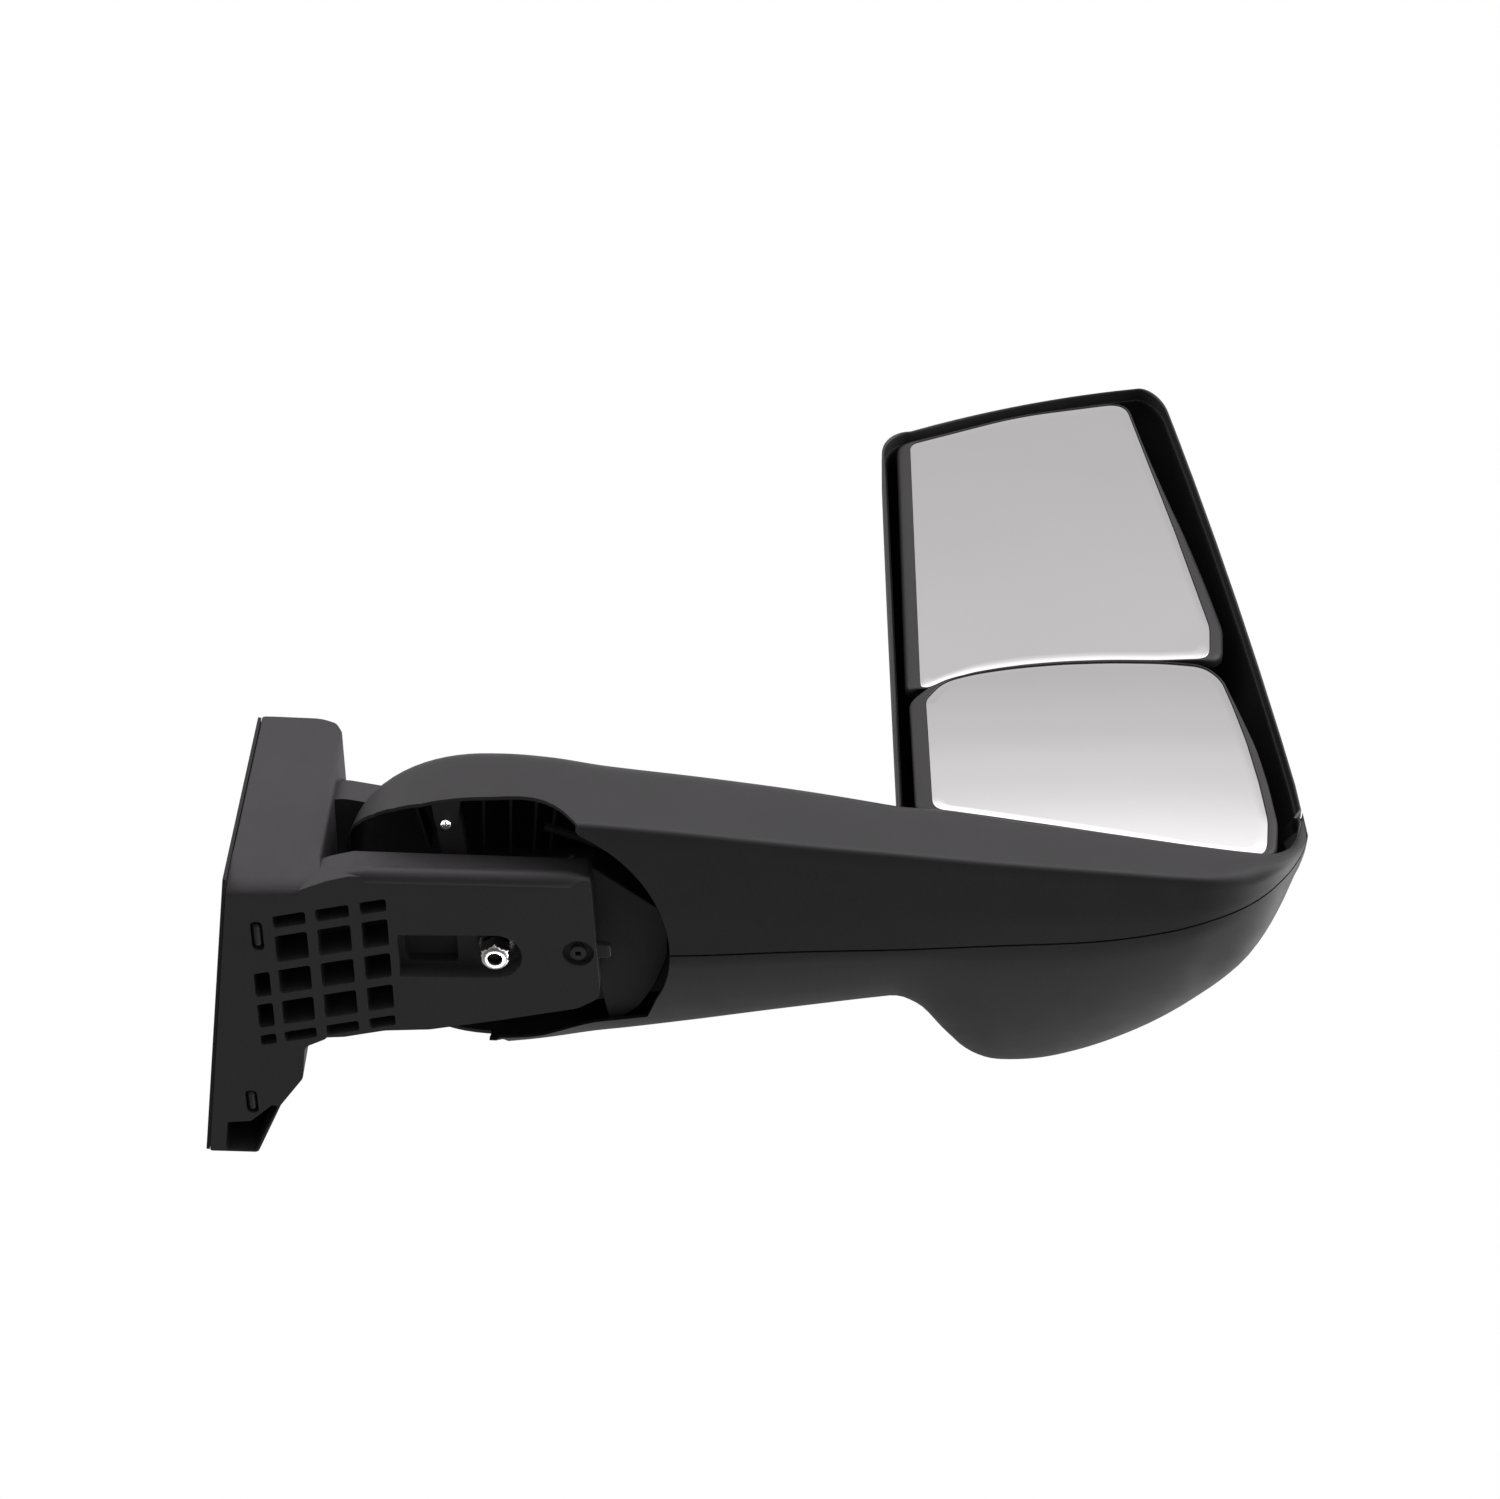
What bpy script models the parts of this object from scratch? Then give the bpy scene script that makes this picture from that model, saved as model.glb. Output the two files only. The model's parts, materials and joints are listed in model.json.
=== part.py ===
"""Door mirror for a lorry or bus: folding arm, powered main glass, wide-angle glass.

Row frame: +X outboard along the arm, -Y to the rear (the glass looks that way), +Z up.
The origin is on the face that bolts to the door, level with the fold pivot.
Lengths below are in millimetres and are scaled to metres as each mesh is made.
"""
import math

import bmesh
import bpy
from mathutils import Matrix, Vector

MM = 0.001

# ---------------------------------------------------------------- driving sizes
UNDERSIDE_Z = -100.0        # flat underside of bracket and arm
BLOCK_TOP_Z = 105.0         # top of the bracket's root block
DOOR_YAW = math.radians(8)  # door face is turned this much about Z
PIVOT_X = 200.0             # fold pivot, at y = 0
BLOCK_X = 77.0              # outboard wall of the root block
BLOCK_REAR_Y = -69.0
TONGUE_TOP_Z = -70.0        # the tongue carries the arm from below
TONGUE_X = 275.0
EAR_Z = (12.0, 36.0)        # the ear holds the top of the shaft
SHAFT_R = 11.0
SHAFT_END_R = 7.7

HUB_Z = (-62.0, -22.0)
CORE_TOP_Z = -30.0
HUB_BORE_R = 16.0
BUSH_R = 15.95

ROOT_R = 118.0              # rounded inner end of the arm covers, about the pivot
ROOT_FULL = 2.3             # exponent of that end's rear quarter, 2 would be a circle
ROOT_FRONT = 101.0          # its half width towards the front
CUTOUT_R = 126.0            # round opening under the arm that clears the tongue
SKIN = 3.0                  # wall of the moulded covers
GAP = 0.35                  # air between pieces that touch on the real mirror
PARTING_Z = -14.0           # head housing above, front arm cover below

HEAD_LEAN = math.radians(6)
RIM_Y, GLASS_Y, HEAD_Z0 = -70.0, -67.0, -10.0
HEAD_LEFT_X = 492.0
TOP_CROWN = 11.0            # rise of the head's top edge above a straight line
BEZEL_W, BEZEL_D = 4.0, 10.0

GLASS_T = 2.0
PAD_T = 0.6
TRAY_T = 3.0
TRAY_LIP = 1.8
TRAY_SIDE = 5.0             # extra width of the carrier's side bands
GIMBAL_D = 19.0             # gimbal centre behind the glass face
GIMBAL_R = 26.0
JACK_ARM = 48.0             # jackscrew distance from the gimbal centre
MAIN_CENTRE = (622.0, 322.0)
WIDE_CENTRE = (640.0, 52.0)

SEG = 24                    # sides of a turned part
ACROSS = Matrix.Rotation(math.radians(90), 4, "Y")   # turns Z to lie along X

# Plan curves of the arm and the front of the head, as (x, value).
REAR_Y = [(200, -118), (240, -119.5), (279, -117), (349, -109), (419, -100), (490, -92),
          (560, -84), (632, -77), (703, -70.5), (786, -70.5)]
FRONT_Y = [(200, 101), (278, 86), (336, 75), (395, 63.5), (453, 52.5), (483, 48), (490, 50),
           (497, 57), (512, 68), (528, 88), (543, 106), (558, 116), (573, 120), (603, 118),
           (632, 109), (660, 95), (689, 76), (716, 52), (743, 20), (755, 0), (767, -26),
           (777, -48), (786, -58)]
TOP_Z = [(84, -14), (88, -6), (94, 0), (103, 3.5), (112, 4), (200, 4), (240, -3), (279, -10),
         (349, -13), (419, -16), (480, -20), (500, -24), (560, -33), (632, -42), (703, -55),
         (752, -68), (768, -64), (786, -52)]
BOTTOM_Z = [(84, -100), (703, -100), (730, -97), (752, -89), (768, -78), (786, -62)]
SEAM_Y = [(60, 0), (330, 0), (420, -4), (492, -6), (564, -9), (635, -13), (685, -22),
          (720, -34), (748, -45), (768, -56), (800, -66)]
STATIONS = [85, 88, 94, 103, 115, 130, 150, 175, 200, 225, 250, 279, 310, 349, 384, 419, 455,
            483, 490, 497, 505, 512, 520, 528, 536, 543, 558, 573, 588, 603, 618, 632, 646,
            660, 675, 689, 703, 716, 730, 743, 755, 767, 777, 786]

# Glass outlines seen from behind, as (x, z), with a corner radius for each point.
MAIN_GLASS = [(517, 124, 8), (626, 156, 200), (738, 163, 14), (742, 200, 60), (728, 323, 400),
              (703, 503, 16), (611, 483, 300), (518, 443, 12)]
WIDE_GLASS = [(517, -17, 12), (640, -35, 200), (703, -48, 60), (755, -60, 14), (761, -24, 60),
              (757, 55, 300), (746, 152, 22), (626, 147, 260), (517, 109, 16)]
WIDE_STAND = 4.0            # the wide-angle glass stands this much behind the main glass

parts = {}


# ---------------------------------------------------------------- mesh helpers
def clear_scene():
    for item in list(bpy.data.objects):
        bpy.data.objects.remove(item, do_unlink=True)


def curve(table, x):
    """Smooth reading of an (x, value) table."""
    if x <= table[0][0]:
        return table[0][1]
    for i in range(len(table) - 1):
        x0, v0 = table[i]
        x1, v1 = table[i + 1]
        if x <= x1:
            before = table[i - 1] if i > 0 else table[i]
            after = table[i + 2] if i + 2 < len(table) else table[i + 1]
            s0 = (v1 - before[1]) / (x1 - before[0])
            s1 = (after[1] - v0) / (after[0] - x0)
            span = x1 - x0
            t = (x - x0) / span
            return ((2 * t**3 - 3 * t**2 + 1) * v0 + (t**3 - 2 * t**2 + t) * span * s0
                    + (-2 * t**3 + 3 * t**2) * v1 + (t**3 - t**2) * span * s1)
    return table[-1][1]


def make(name, verts, faces, slot, place=None):
    """One closed body from vertices in millimetres."""
    mesh = bpy.data.meshes.new(name)
    points = [Vector(v) for v in verts]
    if place is not None:
        points = [place @ p for p in points]
    mesh.from_pydata([p * MM for p in points], [], faces)
    body = bmesh.new()
    body.from_mesh(mesh)
    bmesh.ops.remove_doubles(body, verts=body.verts, dist=0.00002)
    bmesh.ops.recalc_face_normals(body, faces=body.faces)
    body.to_mesh(mesh)
    body.free()
    item = bpy.data.objects.new(name, mesh)
    bpy.context.scene.collection.objects.link(item)
    if slot:
        item.data.materials.append(material(slot, name))
    parts[name] = item
    return item


# Base colour, roughness and metallic value of each finish.
FINISHES = {
    "grained_plastic": ((0.044, 0.042, 0.0445), 0.42, 0.0),
    "cast_black": ((0.058, 0.055, 0.058), 0.52, 0.0),
    "inner_plastic": ((0.039, 0.038, 0.039), 0.4, 0.0),
    "mirror_glass": ((0.88, 0.87, 0.875), 0.03, 1.0),
    "zinc_steel": ((0.8, 0.79, 0.77), 0.22, 1.0),
    "bright_steel": ((0.57, 0.57, 0.56), 0.28, 1.0),
    "bronze": ((0.48, 0.32, 0.14), 0.4, 1.0),
    "white_plastic": ((0.7, 0.69, 0.65), 0.4, 0.0),
    "seal_rubber": ((0.04, 0.039, 0.04), 0.72, 0.0),
    "heater_film": ((0.25, 0.09, 0.035), 0.42, 0.0),
    "brass": ((0.66, 0.48, 0.2), 0.3, 1.0),
    "frame_metal": ((0.36, 0.36, 0.37), 0.45, 1.0),
}


def material(slot, owner):
    """Own material of one sub-part, in the named finish."""
    new = bpy.data.materials.new(owner + "_" + slot)
    new.use_nodes = True
    shader = new.node_tree.nodes["Principled BSDF"]
    colour, rough, metallic = FINISHES[slot]
    shader.inputs["Base Color"].default_value = (*colour, 1)
    shader.inputs["Roughness"].default_value = rough
    shader.inputs["Metallic"].default_value = metallic
    return new


def loft(name, rings, slot, place=None, closed=False):
    """Skin through rings of equal length; closed joins the last ring to the first."""
    count = len(rings[0])
    verts = [p for ring in rings for p in ring]
    faces = []
    for k in range(len(rings) if closed else len(rings) - 1):
        a, b = k * count, ((k + 1) % len(rings)) * count
        for i in range(count):
            j = (i + 1) % count
            faces.append((a + i, a + j, b + j, b + i))
    if not closed:
        faces.append(tuple(range(count))[::-1])
        faces.append(tuple(range(len(verts) - count, len(verts))))
    return make(name, verts, faces, slot, place)


def prism(name, outline, low, high, slot, place=None):
    return loft(name, [[(x, y, low) for x, y in outline], [(x, y, high) for x, y in outline]],
                slot, place)


def box(name, low, high, slot=None, place=None):
    (x0, y0, z0), (x1, y1, z1) = low, high
    return prism(name, [(x0, y0), (x1, y0), (x1, y1), (x0, y1)], z0, z1, slot, place)


def turned(name, profile, slot, place=None, sides=SEG):
    """Ring turned about Z from a closed (radius, height) profile that is off the axis."""
    rings = []
    for k in range(sides):
        a = 2 * math.pi * k / sides
        rings.append([(r * math.cos(a), r * math.sin(a), z) for r, z in profile])
    return loft(name, rings, slot, place, closed=True)


def rod(name, steps, slot, place=None, sides=SEG):
    """Solid turned about Z from (radius, height) steps, bottom to top."""
    rings = []
    for r, z in steps:
        rings.append([(r * math.cos(2 * math.pi * k / sides), r * math.sin(2 * math.pi * k / sides), z)
                      for k in range(sides)])
    return loft(name, rings, slot, place)


def tube(name, path, radius, slot, sides=10):
    points = [Vector(p) for p in path]
    smooth = []
    for i in range(len(points) - 1):
        p0, p1 = points[max(i - 1, 0)], points[i]
        p2, p3 = points[i + 1], points[min(i + 2, len(points) - 1)]
        for k in range(4):
            t = k / 4
            smooth.append(0.5 * (2 * p1 + (p2 - p0) * t + (2 * p0 - 5 * p1 + 4 * p2 - p3) * t**2
                                 + (3 * p1 - p0 - 3 * p2 + p3) * t**3))
    smooth.append(points[-1])
    rings = []
    side = Vector((0, 1, 0))
    for i, p in enumerate(smooth):
        ahead = (smooth[min(i + 1, len(smooth) - 1)] - smooth[max(i - 1, 0)]).normalized()
        side = (side - ahead * side.dot(ahead)).normalized()
        other = ahead.cross(side)
        rings.append([p + radius * (side * math.cos(2 * math.pi * k / sides)
                                    + other * math.sin(2 * math.pi * k / sides))
                      for k in range(sides)])
    return loft(name, rings, slot)


def combine(target, others, operation):
    """Boolean of whole bodies, applied at once; the cutters are removed."""
    for other in others:
        step = target.modifiers.new("step", "BOOLEAN")
        step.solver = "EXACT"
        step.operation = operation
        step.object = other
        graph = bpy.context.evaluated_depsgraph_get()
        mesh = bpy.data.meshes.new_from_object(target.evaluated_get(graph))
        target.modifiers.clear()
        old = target.data
        target.data = mesh
        bpy.data.meshes.remove(old)
        parts.pop(other.name, None)
        bpy.data.objects.remove(other, do_unlink=True)
    body = bmesh.new()
    body.from_mesh(target.data)
    bmesh.ops.remove_doubles(body, verts=body.verts, dist=0.00001)
    bmesh.ops.dissolve_degenerate(body, edges=body.edges, dist=0.00001)
    body.to_mesh(target.data)
    body.free()
    return target


def keep_largest(item):
    """Drops loose slivers that a cut leaves behind."""
    body = bmesh.new()
    body.from_mesh(item.data)
    left = set(body.verts)
    islands = []
    while left:
        island, queue = set(), [left.pop()]
        while queue:
            vert = queue.pop()
            island.add(vert)
            for edge in vert.link_edges:
                other = edge.other_vert(vert)
                if other in left:
                    left.discard(other)
                    queue.append(other)
        islands.append(island)
    islands.sort(key=len)
    for island in islands[:-1]:
        bmesh.ops.delete(body, geom=list(island), context="VERTS")
    body.to_mesh(item.data)
    body.free()


def join(target, *others):
    return combine(target, others, "UNION")


def cut(target, *others):
    return combine(target, others, "DIFFERENCE")


def rounded(points, steps=4):
    """Outline with each (x, y, radius) corner rounded, as far as its sides allow."""
    outline = []
    count = len(points)
    for i in range(count):
        corner = Vector(points[i][:2])
        radius = points[i][2]
        to_a = Vector(points[i - 1][:2]) - corner
        to_b = Vector(points[(i + 1) % count][:2]) - corner
        half = to_a.angle(to_b) / 2
        reach = min(radius / math.tan(half), to_a.length * 0.48, to_b.length * 0.48)
        start = corner + to_a.normalized() * reach
        end = corner + to_b.normalized() * reach
        for k in range(steps + 1):
            t = k / steps
            outline.append(tuple((1 - t)**2 * start + 2 * t * (1 - t) * corner + t**2 * end))
    return outline


def inset(outline, amount):
    """Counter-clockwise outline moved inwards by amount (outwards if negative)."""
    moved = []
    count = len(outline)
    for i in range(count):
        p = Vector(outline[i])
        a = (p - Vector(outline[i - 1])).normalized()
        b = (Vector(outline[(i + 1) % count]) - p).normalized()
        normal = Vector((-(a.y + b.y), a.x + b.x)).normalized()
        scale = amount / max(0.5, normal.dot(Vector((-a.y, a.x))))
        moved.append(tuple(p + normal * scale))
    return moved


def circle(cx, cy, r, sides=SEG, start=0.0, sweep=2 * math.pi):
    whole = abs(sweep - 2 * math.pi) < 1e-6
    return [(cx + r * math.cos(start + sweep * k / (sides if whole else sides - 1)),
             cy + r * math.sin(start + sweep * k / (sides if whole else sides - 1)))
            for k in range(sides)]


def at(x, y, z=0.0):
    return Matrix.Translation((x, y, z))


def head_place(x=0.0, depth=0.0, height=0.0):
    """Head frame: X, then depth from the glass face towards the front, then height."""
    lean = Matrix.Rotation(HEAD_LEAN, 4, "X")
    return Matrix.Translation((0, GLASS_Y, HEAD_Z0)) @ lean @ Matrix.Translation((x, depth, height))


def facing_glass(x, depth, height):
    """Place for an outline drawn as (x, z) and thickened towards the front of the head."""
    swap = Matrix(((1, 0, 0, 0), (0, 0, 1, 0), (0, 1, 0, 0), (0, 0, 0, 1)))
    return head_place(x, depth, height) @ swap


# ---------------------------------------------------------------- door bracket
def contact_y_line(x_out):
    """Plan line parallel to the door face, x_out in front of it, as two end points."""
    c, s = math.cos(DOOR_YAW), math.sin(DOOR_YAW)
    return [(x_out * c - s * t, x_out * s + c * t) for t in (-71.0, 188.0)]


GASKET_T = 2.5
FLANGE_T = 13.0


def build_bracket():
    rear, front = contact_y_line(GASKET_T + GAP)
    plate = [rear, (BLOCK_X - 4, BLOCK_REAR_Y), (BLOCK_X, BLOCK_REAR_Y + 4), (BLOCK_X, -58),
             (BLOCK_X - 2.5, -44), (BLOCK_X - 2.5, 76), (56, 85), (52.5, 115), (34, 141), (13, 188),
             front]
    bracket = prism("door_bracket", plate, UNDERSIDE_Z, BLOCK_TOP_Z, "cast_black")
    # The block is sliced to its slanted top and its front flange tapers towards the wing.
    top = [(-60, 240), (-60, 108), (12, 105.5), (58, 103), (71, 96), (76, 85), (78, 60), (150, 60),
           (150, 240)]
    swap_xz = Matrix(((1, 0, 0, 0), (0, 0, 1, 0), (0, 1, 0, 0), (0, 0, 0, 1)))
    cutters = [prism("top_slice", top, -90, 220, None, swap_xz)]
    side = [(62, 240), (62, 120), (84, 60), (128, -18), (240, -52), (240, 240)]
    side_place = Matrix(((0, 0, 1, 0), (1, 0, 0, 0), (0, 1, 0, 0), (0, 0, 0, 1)))
    cutters.append(prism("flange_slice", side, -60, 120, None, side_place))
    # Rear face turns under towards the flat underside.
    under = [(-80, -110), (-80, -62), (-66.5, -72), (-63.5, -88), (-63, -110)]
    cutters.append(prism("rear_turn_under", under, -60, 120, None, side_place))
    cut(bracket, *cutters)

    tongue = rounded([(70, 76, 1), (86, 75, 6), (116, 69, 20), (149, 68, 20), (201, 59, 40),
                      (258, 48, 16), (TONGUE_X, 38, 10), (270.5, -65, 4), (97, -72, 4),
                      (70, -62, 1)][::-1], 3)
    join(bracket, prism("tongue", tongue, UNDERSIDE_Z, TONGUE_TOP_Z, None))
    bead = [(97 + 173.5 * k / 12, -73.2 + 5.2 * k / 12) for k in range(13)]
    ring = []
    for k in range(12):
        a = 2 * math.pi * k / 12
        ring.append((4.2 * math.cos(a), 4.2 * math.sin(a)))
    rings = []
    for i, (x, y) in enumerate(bead):
        s = 0.55 if i in (0, 12) else 1.0
        rings.append([(x, y + a * s, UNDERSIDE_Z + 3.9 + b * s) for a, b in ring])
    join(bracket, loft("bead", rings, None))

    ear = rounded([(66, -58, 2), (84, -60, 30), (150, -46, 60), (205, -44, 45), (242, -32, 30),
                   (246, 0, 40), (242, 32, 30), (205, 44, 45), (150, 46, 60), (84, 60, 30),
                   (66, 62, 2)], 3)
    join(bracket, prism("ear", ear, EAR_Z[0], EAR_Z[1], None))
    for y in (-46, 40):
        web = [(70, EAR_Z[1] - 2), (70, 62), (84, 52), (130, EAR_Z[1] + 2), (130, EAR_Z[1] - 2)]
        join(bracket, prism("web", web, y, y + 6, None, swap_xz))

    # Pockets under the tongue: long slot with the nut, screw boss, stiffening lattice.
    slot = [(130, -20), (PIVOT_X, -19.5)]
    slot += circle(PIVOT_X, 0, 19.5, 12, -math.pi / 2 + 0.1, math.pi - 0.2)
    slot += [(PIVOT_X, 19.5), (130, 18)]
    pockets = [prism("slot", slot, UNDERSIDE_Z - 5, UNDERSIDE_Z + 14, None)]
    deep = [(134, -16), (172, -16), (172, 15), (134, 14)]
    pockets.append(prism("slot_deep", deep, UNDERSIDE_Z - 5, UNDERSIDE_Z + 22, None))
    pockets.append(turned("boss_moat", [(5.5, -5), (11.5, -5), (11.5, 5), (5.5, 5)], None,
                          at(260, -3, UNDERSIDE_Z), 24))
    pockets.append(box("boss_square", (258, -5, UNDERSIDE_Z - 5), (262, -1, UNDERSIDE_Z + 9)))
    pockets += lattice_pockets()
    pockets += [rod("shaft_hole", [(8.0, UNDERSIDE_Z), (8.0, TONGUE_TOP_Z + 5)], None, at(PIVOT_X, 0)),
                rod("ear_hole", [(8.0, EAR_Z[0] - 5), (8.0, EAR_Z[1] + 5)], None, at(PIVOT_X, 0)),
                rod("ear_recess", [(17, EAR_Z[1] - 4), (17, EAR_Z[1] + 5)], None, at(PIVOT_X, 0))]
    for cx, cz in INSERTS:
        pockets.append(rod("insert_hole", [(6.05, -1), (6.05, 22)], None, door_place(cx, cz), 24))
    cut(bracket, *pockets)
    return bracket


INSERTS = [(-44, 72), (-44, -52), (118, -62)]   # along the door face, height


def door_place(along, height):
    """Z of the local frame points outboard from the door face."""
    c, s = math.cos(DOOR_YAW), math.sin(DOOR_YAW)
    return Matrix(((0, -s, c, -s * along), (0, c, s, c * along), (1, 0, 0, height), (0, 0, 0, 1)))


def lattice_pockets():
    """Rows of square pockets under the block and neck; the rows slant back outboard."""
    slope = math.tan(math.radians(-11.2))
    columns = [(24, 36, (2, 3, 4)), (42, 66, (0, 1, 2, 3, 4)), (73, 97.5, (0, 1, 2, 3, 4)),
               (105, 124.5, (0, 1, 2, 3, 4))]
    rows = [(-39, -28), (-21, 3), (10, 32), (39, 61), (68, 80)]
    pockets = []
    for x0, x1, which in columns:
        for k in which:
            y0, y1 = rows[k]
            corners = [(x0, y0 + slope * (x0 - 54), 2), (x1, y0 + slope * (x1 - 54), 2),
                       (x1, y1 + slope * (x1 - 54), 2), (x0, y1 + slope * (x0 - 54), 2)]
            depth = 24 if x0 > 70 else (130 if k == 4 else 175)
            pockets.append(prism("pocket", rounded(corners, 2), UNDERSIDE_Z - 5,
                                 UNDERSIDE_Z + depth, None))
    pockets.append(prism("flange_pocket", rounded([(-8, 158, 3), (10, 157, 3), (27.5, 141, 3), (31.8, 142.5, 2),
                                                   (11.6, 186.6, 2), (-11.6, 186.6, 2)], 2),
                         UNDERSIDE_Z - 5, UNDERSIDE_Z + 20, None))
    pockets.append(prism("pin_slot_1", rounded([(26, -31, 2), (34, -31, 2), (34, -6, 2), (26, -6, 2)], 2),
                         UNDERSIDE_Z - 5, UNDERSIDE_Z + 7, None))
    pockets.append(prism("pin_slot_2", rounded([(8, 127, 2), (17, 127, 2), (17, 149, 2), (8, 149, 2)], 2),
                         UNDERSIDE_Z - 5, UNDERSIDE_Z + 7, None))
    return pockets


def build_base():
    build_bracket()
    face = [(-70.5, -99.5), (187, -99.5), (187, -44), (126, -24), (84, 56), (62, 104), (-70.5, 104)]
    gasket = prism("door_gasket", face, 0.0, GASKET_T, "seal_rubber", door_place_face())
    cut(gasket, *[rod("hole", [(6.5, -1), (6.5, 5)], None, door_place(cx, cz), 24)
                  for cx, cz in INSERTS])
    for k, (cx, cz) in enumerate(INSERTS):
        turned(f"threaded_insert_{k + 1}", [(3.4, 3.2), (6.0, 3.2), (6.0, 20), (3.4, 20)],
               "brass", door_place(cx, cz), 24)
    lying = Matrix.Rotation(math.radians(-90), 4, "X")
    rod("locating_pin_1", [(2.2, -10), (2.8, -9), (2.8, 9), (2.2, 10)], "zinc_steel",
        at(30, -18.5, UNDERSIDE_Z + 3.6) @ lying, 16)
    rod("locating_pin_2", [(2.2, -9), (2.8, -8), (2.8, 8), (2.2, 9)], "zinc_steel",
        at(12.5, 138, UNDERSIDE_Z + 3.6) @ lying, 16)


def door_place_face():
    """Outline (along the face, height) thickened outboard."""
    c, s = math.cos(DOOR_YAW), math.sin(DOOR_YAW)
    return Matrix(((-s, 0, c, 0), (c, 0, s, 0), (0, 1, 0, 0), (0, 0, 0, 1)))


# ---------------------------------------------------------------- fold pivot
def hex_ring(name, across, bore, low, high, slot, place):
    outer = circle(0, 0, across / 2 / math.cos(math.pi / 6), 6)
    nut = prism(name, outer, low, high, slot, place)
    return cut(nut, rod("bore", [(bore, low - 1), (bore, high + 1)], None, place, 24))


def build_pivot():
    here = at(PIVOT_X, 0)
    rod("pivot_shaft", [(SHAFT_END_R - 1, -98), (SHAFT_END_R, -97), (SHAFT_END_R, TONGUE_TOP_Z + 0.3),
                        (SHAFT_R, TONGUE_TOP_Z + 0.3), (SHAFT_R, EAR_Z[0] - 0.3),
                        (SHAFT_END_R, EAR_Z[0] - 0.3), (SHAFT_END_R, EAR_Z[1] + 8),
                        (SHAFT_END_R - 1, EAR_Z[1] + 9)], "bright_steel", here)
    floor = UNDERSIDE_Z + 14
    turned("pivot_washer", [(8.0, floor - 2.2), (14, floor - 2.2), (14, floor - 0.3),
                            (8.0, floor - 0.3)], "zinc_steel", here)
    hex_ring("pivot_nut", 19.0, 8.0, floor - 11.5, floor - 2.5, "zinc_steel", here)
    top = EAR_Z[1] - 4
    turned("top_washer", [(8.0, top + 0.3), (14, top + 0.3), (14, top + 2.2), (8.0, top + 2.2)],
           "zinc_steel", here)
    hex_ring("top_nut", 19.0, 8.0, top + 2.5, top + 10.5, "zinc_steel", here)
    # Friction plate on the tongue, cam ring under the hub, springs above it.
    turned("detent_plate", [(11.4, -69.7), (42, -69.7), (42, -66.6), (11.4, -66.6)],
           "bright_steel", here)
    turned("cam_ring", [(11.4, -66.2), (40, -66.2), (40, -62.4), (11.4, -62.4)], "bright_steel",
           here)
    for k, low in enumerate((-21.4, -16.6)):
        up = 2.6 if k == 0 else -2.6
        base = low if k == 0 else low + 2.6
        turned(f"disc_spring_{k + 1}", [(11.5, base + up), (28, base), (28, base + 1.8),
                                        (11.5, base + up + 1.8)], "bright_steel", here)
    turned("spring_seat", [(11.5, -11.8), (26, -11.8), (26, -8.8), (11.5, -8.8)], "zinc_steel",
           here)
    turned("retaining_clip", [(11.3, -8.4), (15, -8.4), (15, -6.8), (11.3, -6.8)],
           "bright_steel", here)
    for name, low, high in (("hub_bush_lower", HUB_Z[0], HUB_Z[0] + 15),
                            ("hub_bush_upper", HUB_Z[1] - 15, HUB_Z[1])):
        turned(name, [(11.35, low), (BUSH_R, low), (BUSH_R, high), (11.35, high)], "bronze", here)


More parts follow.
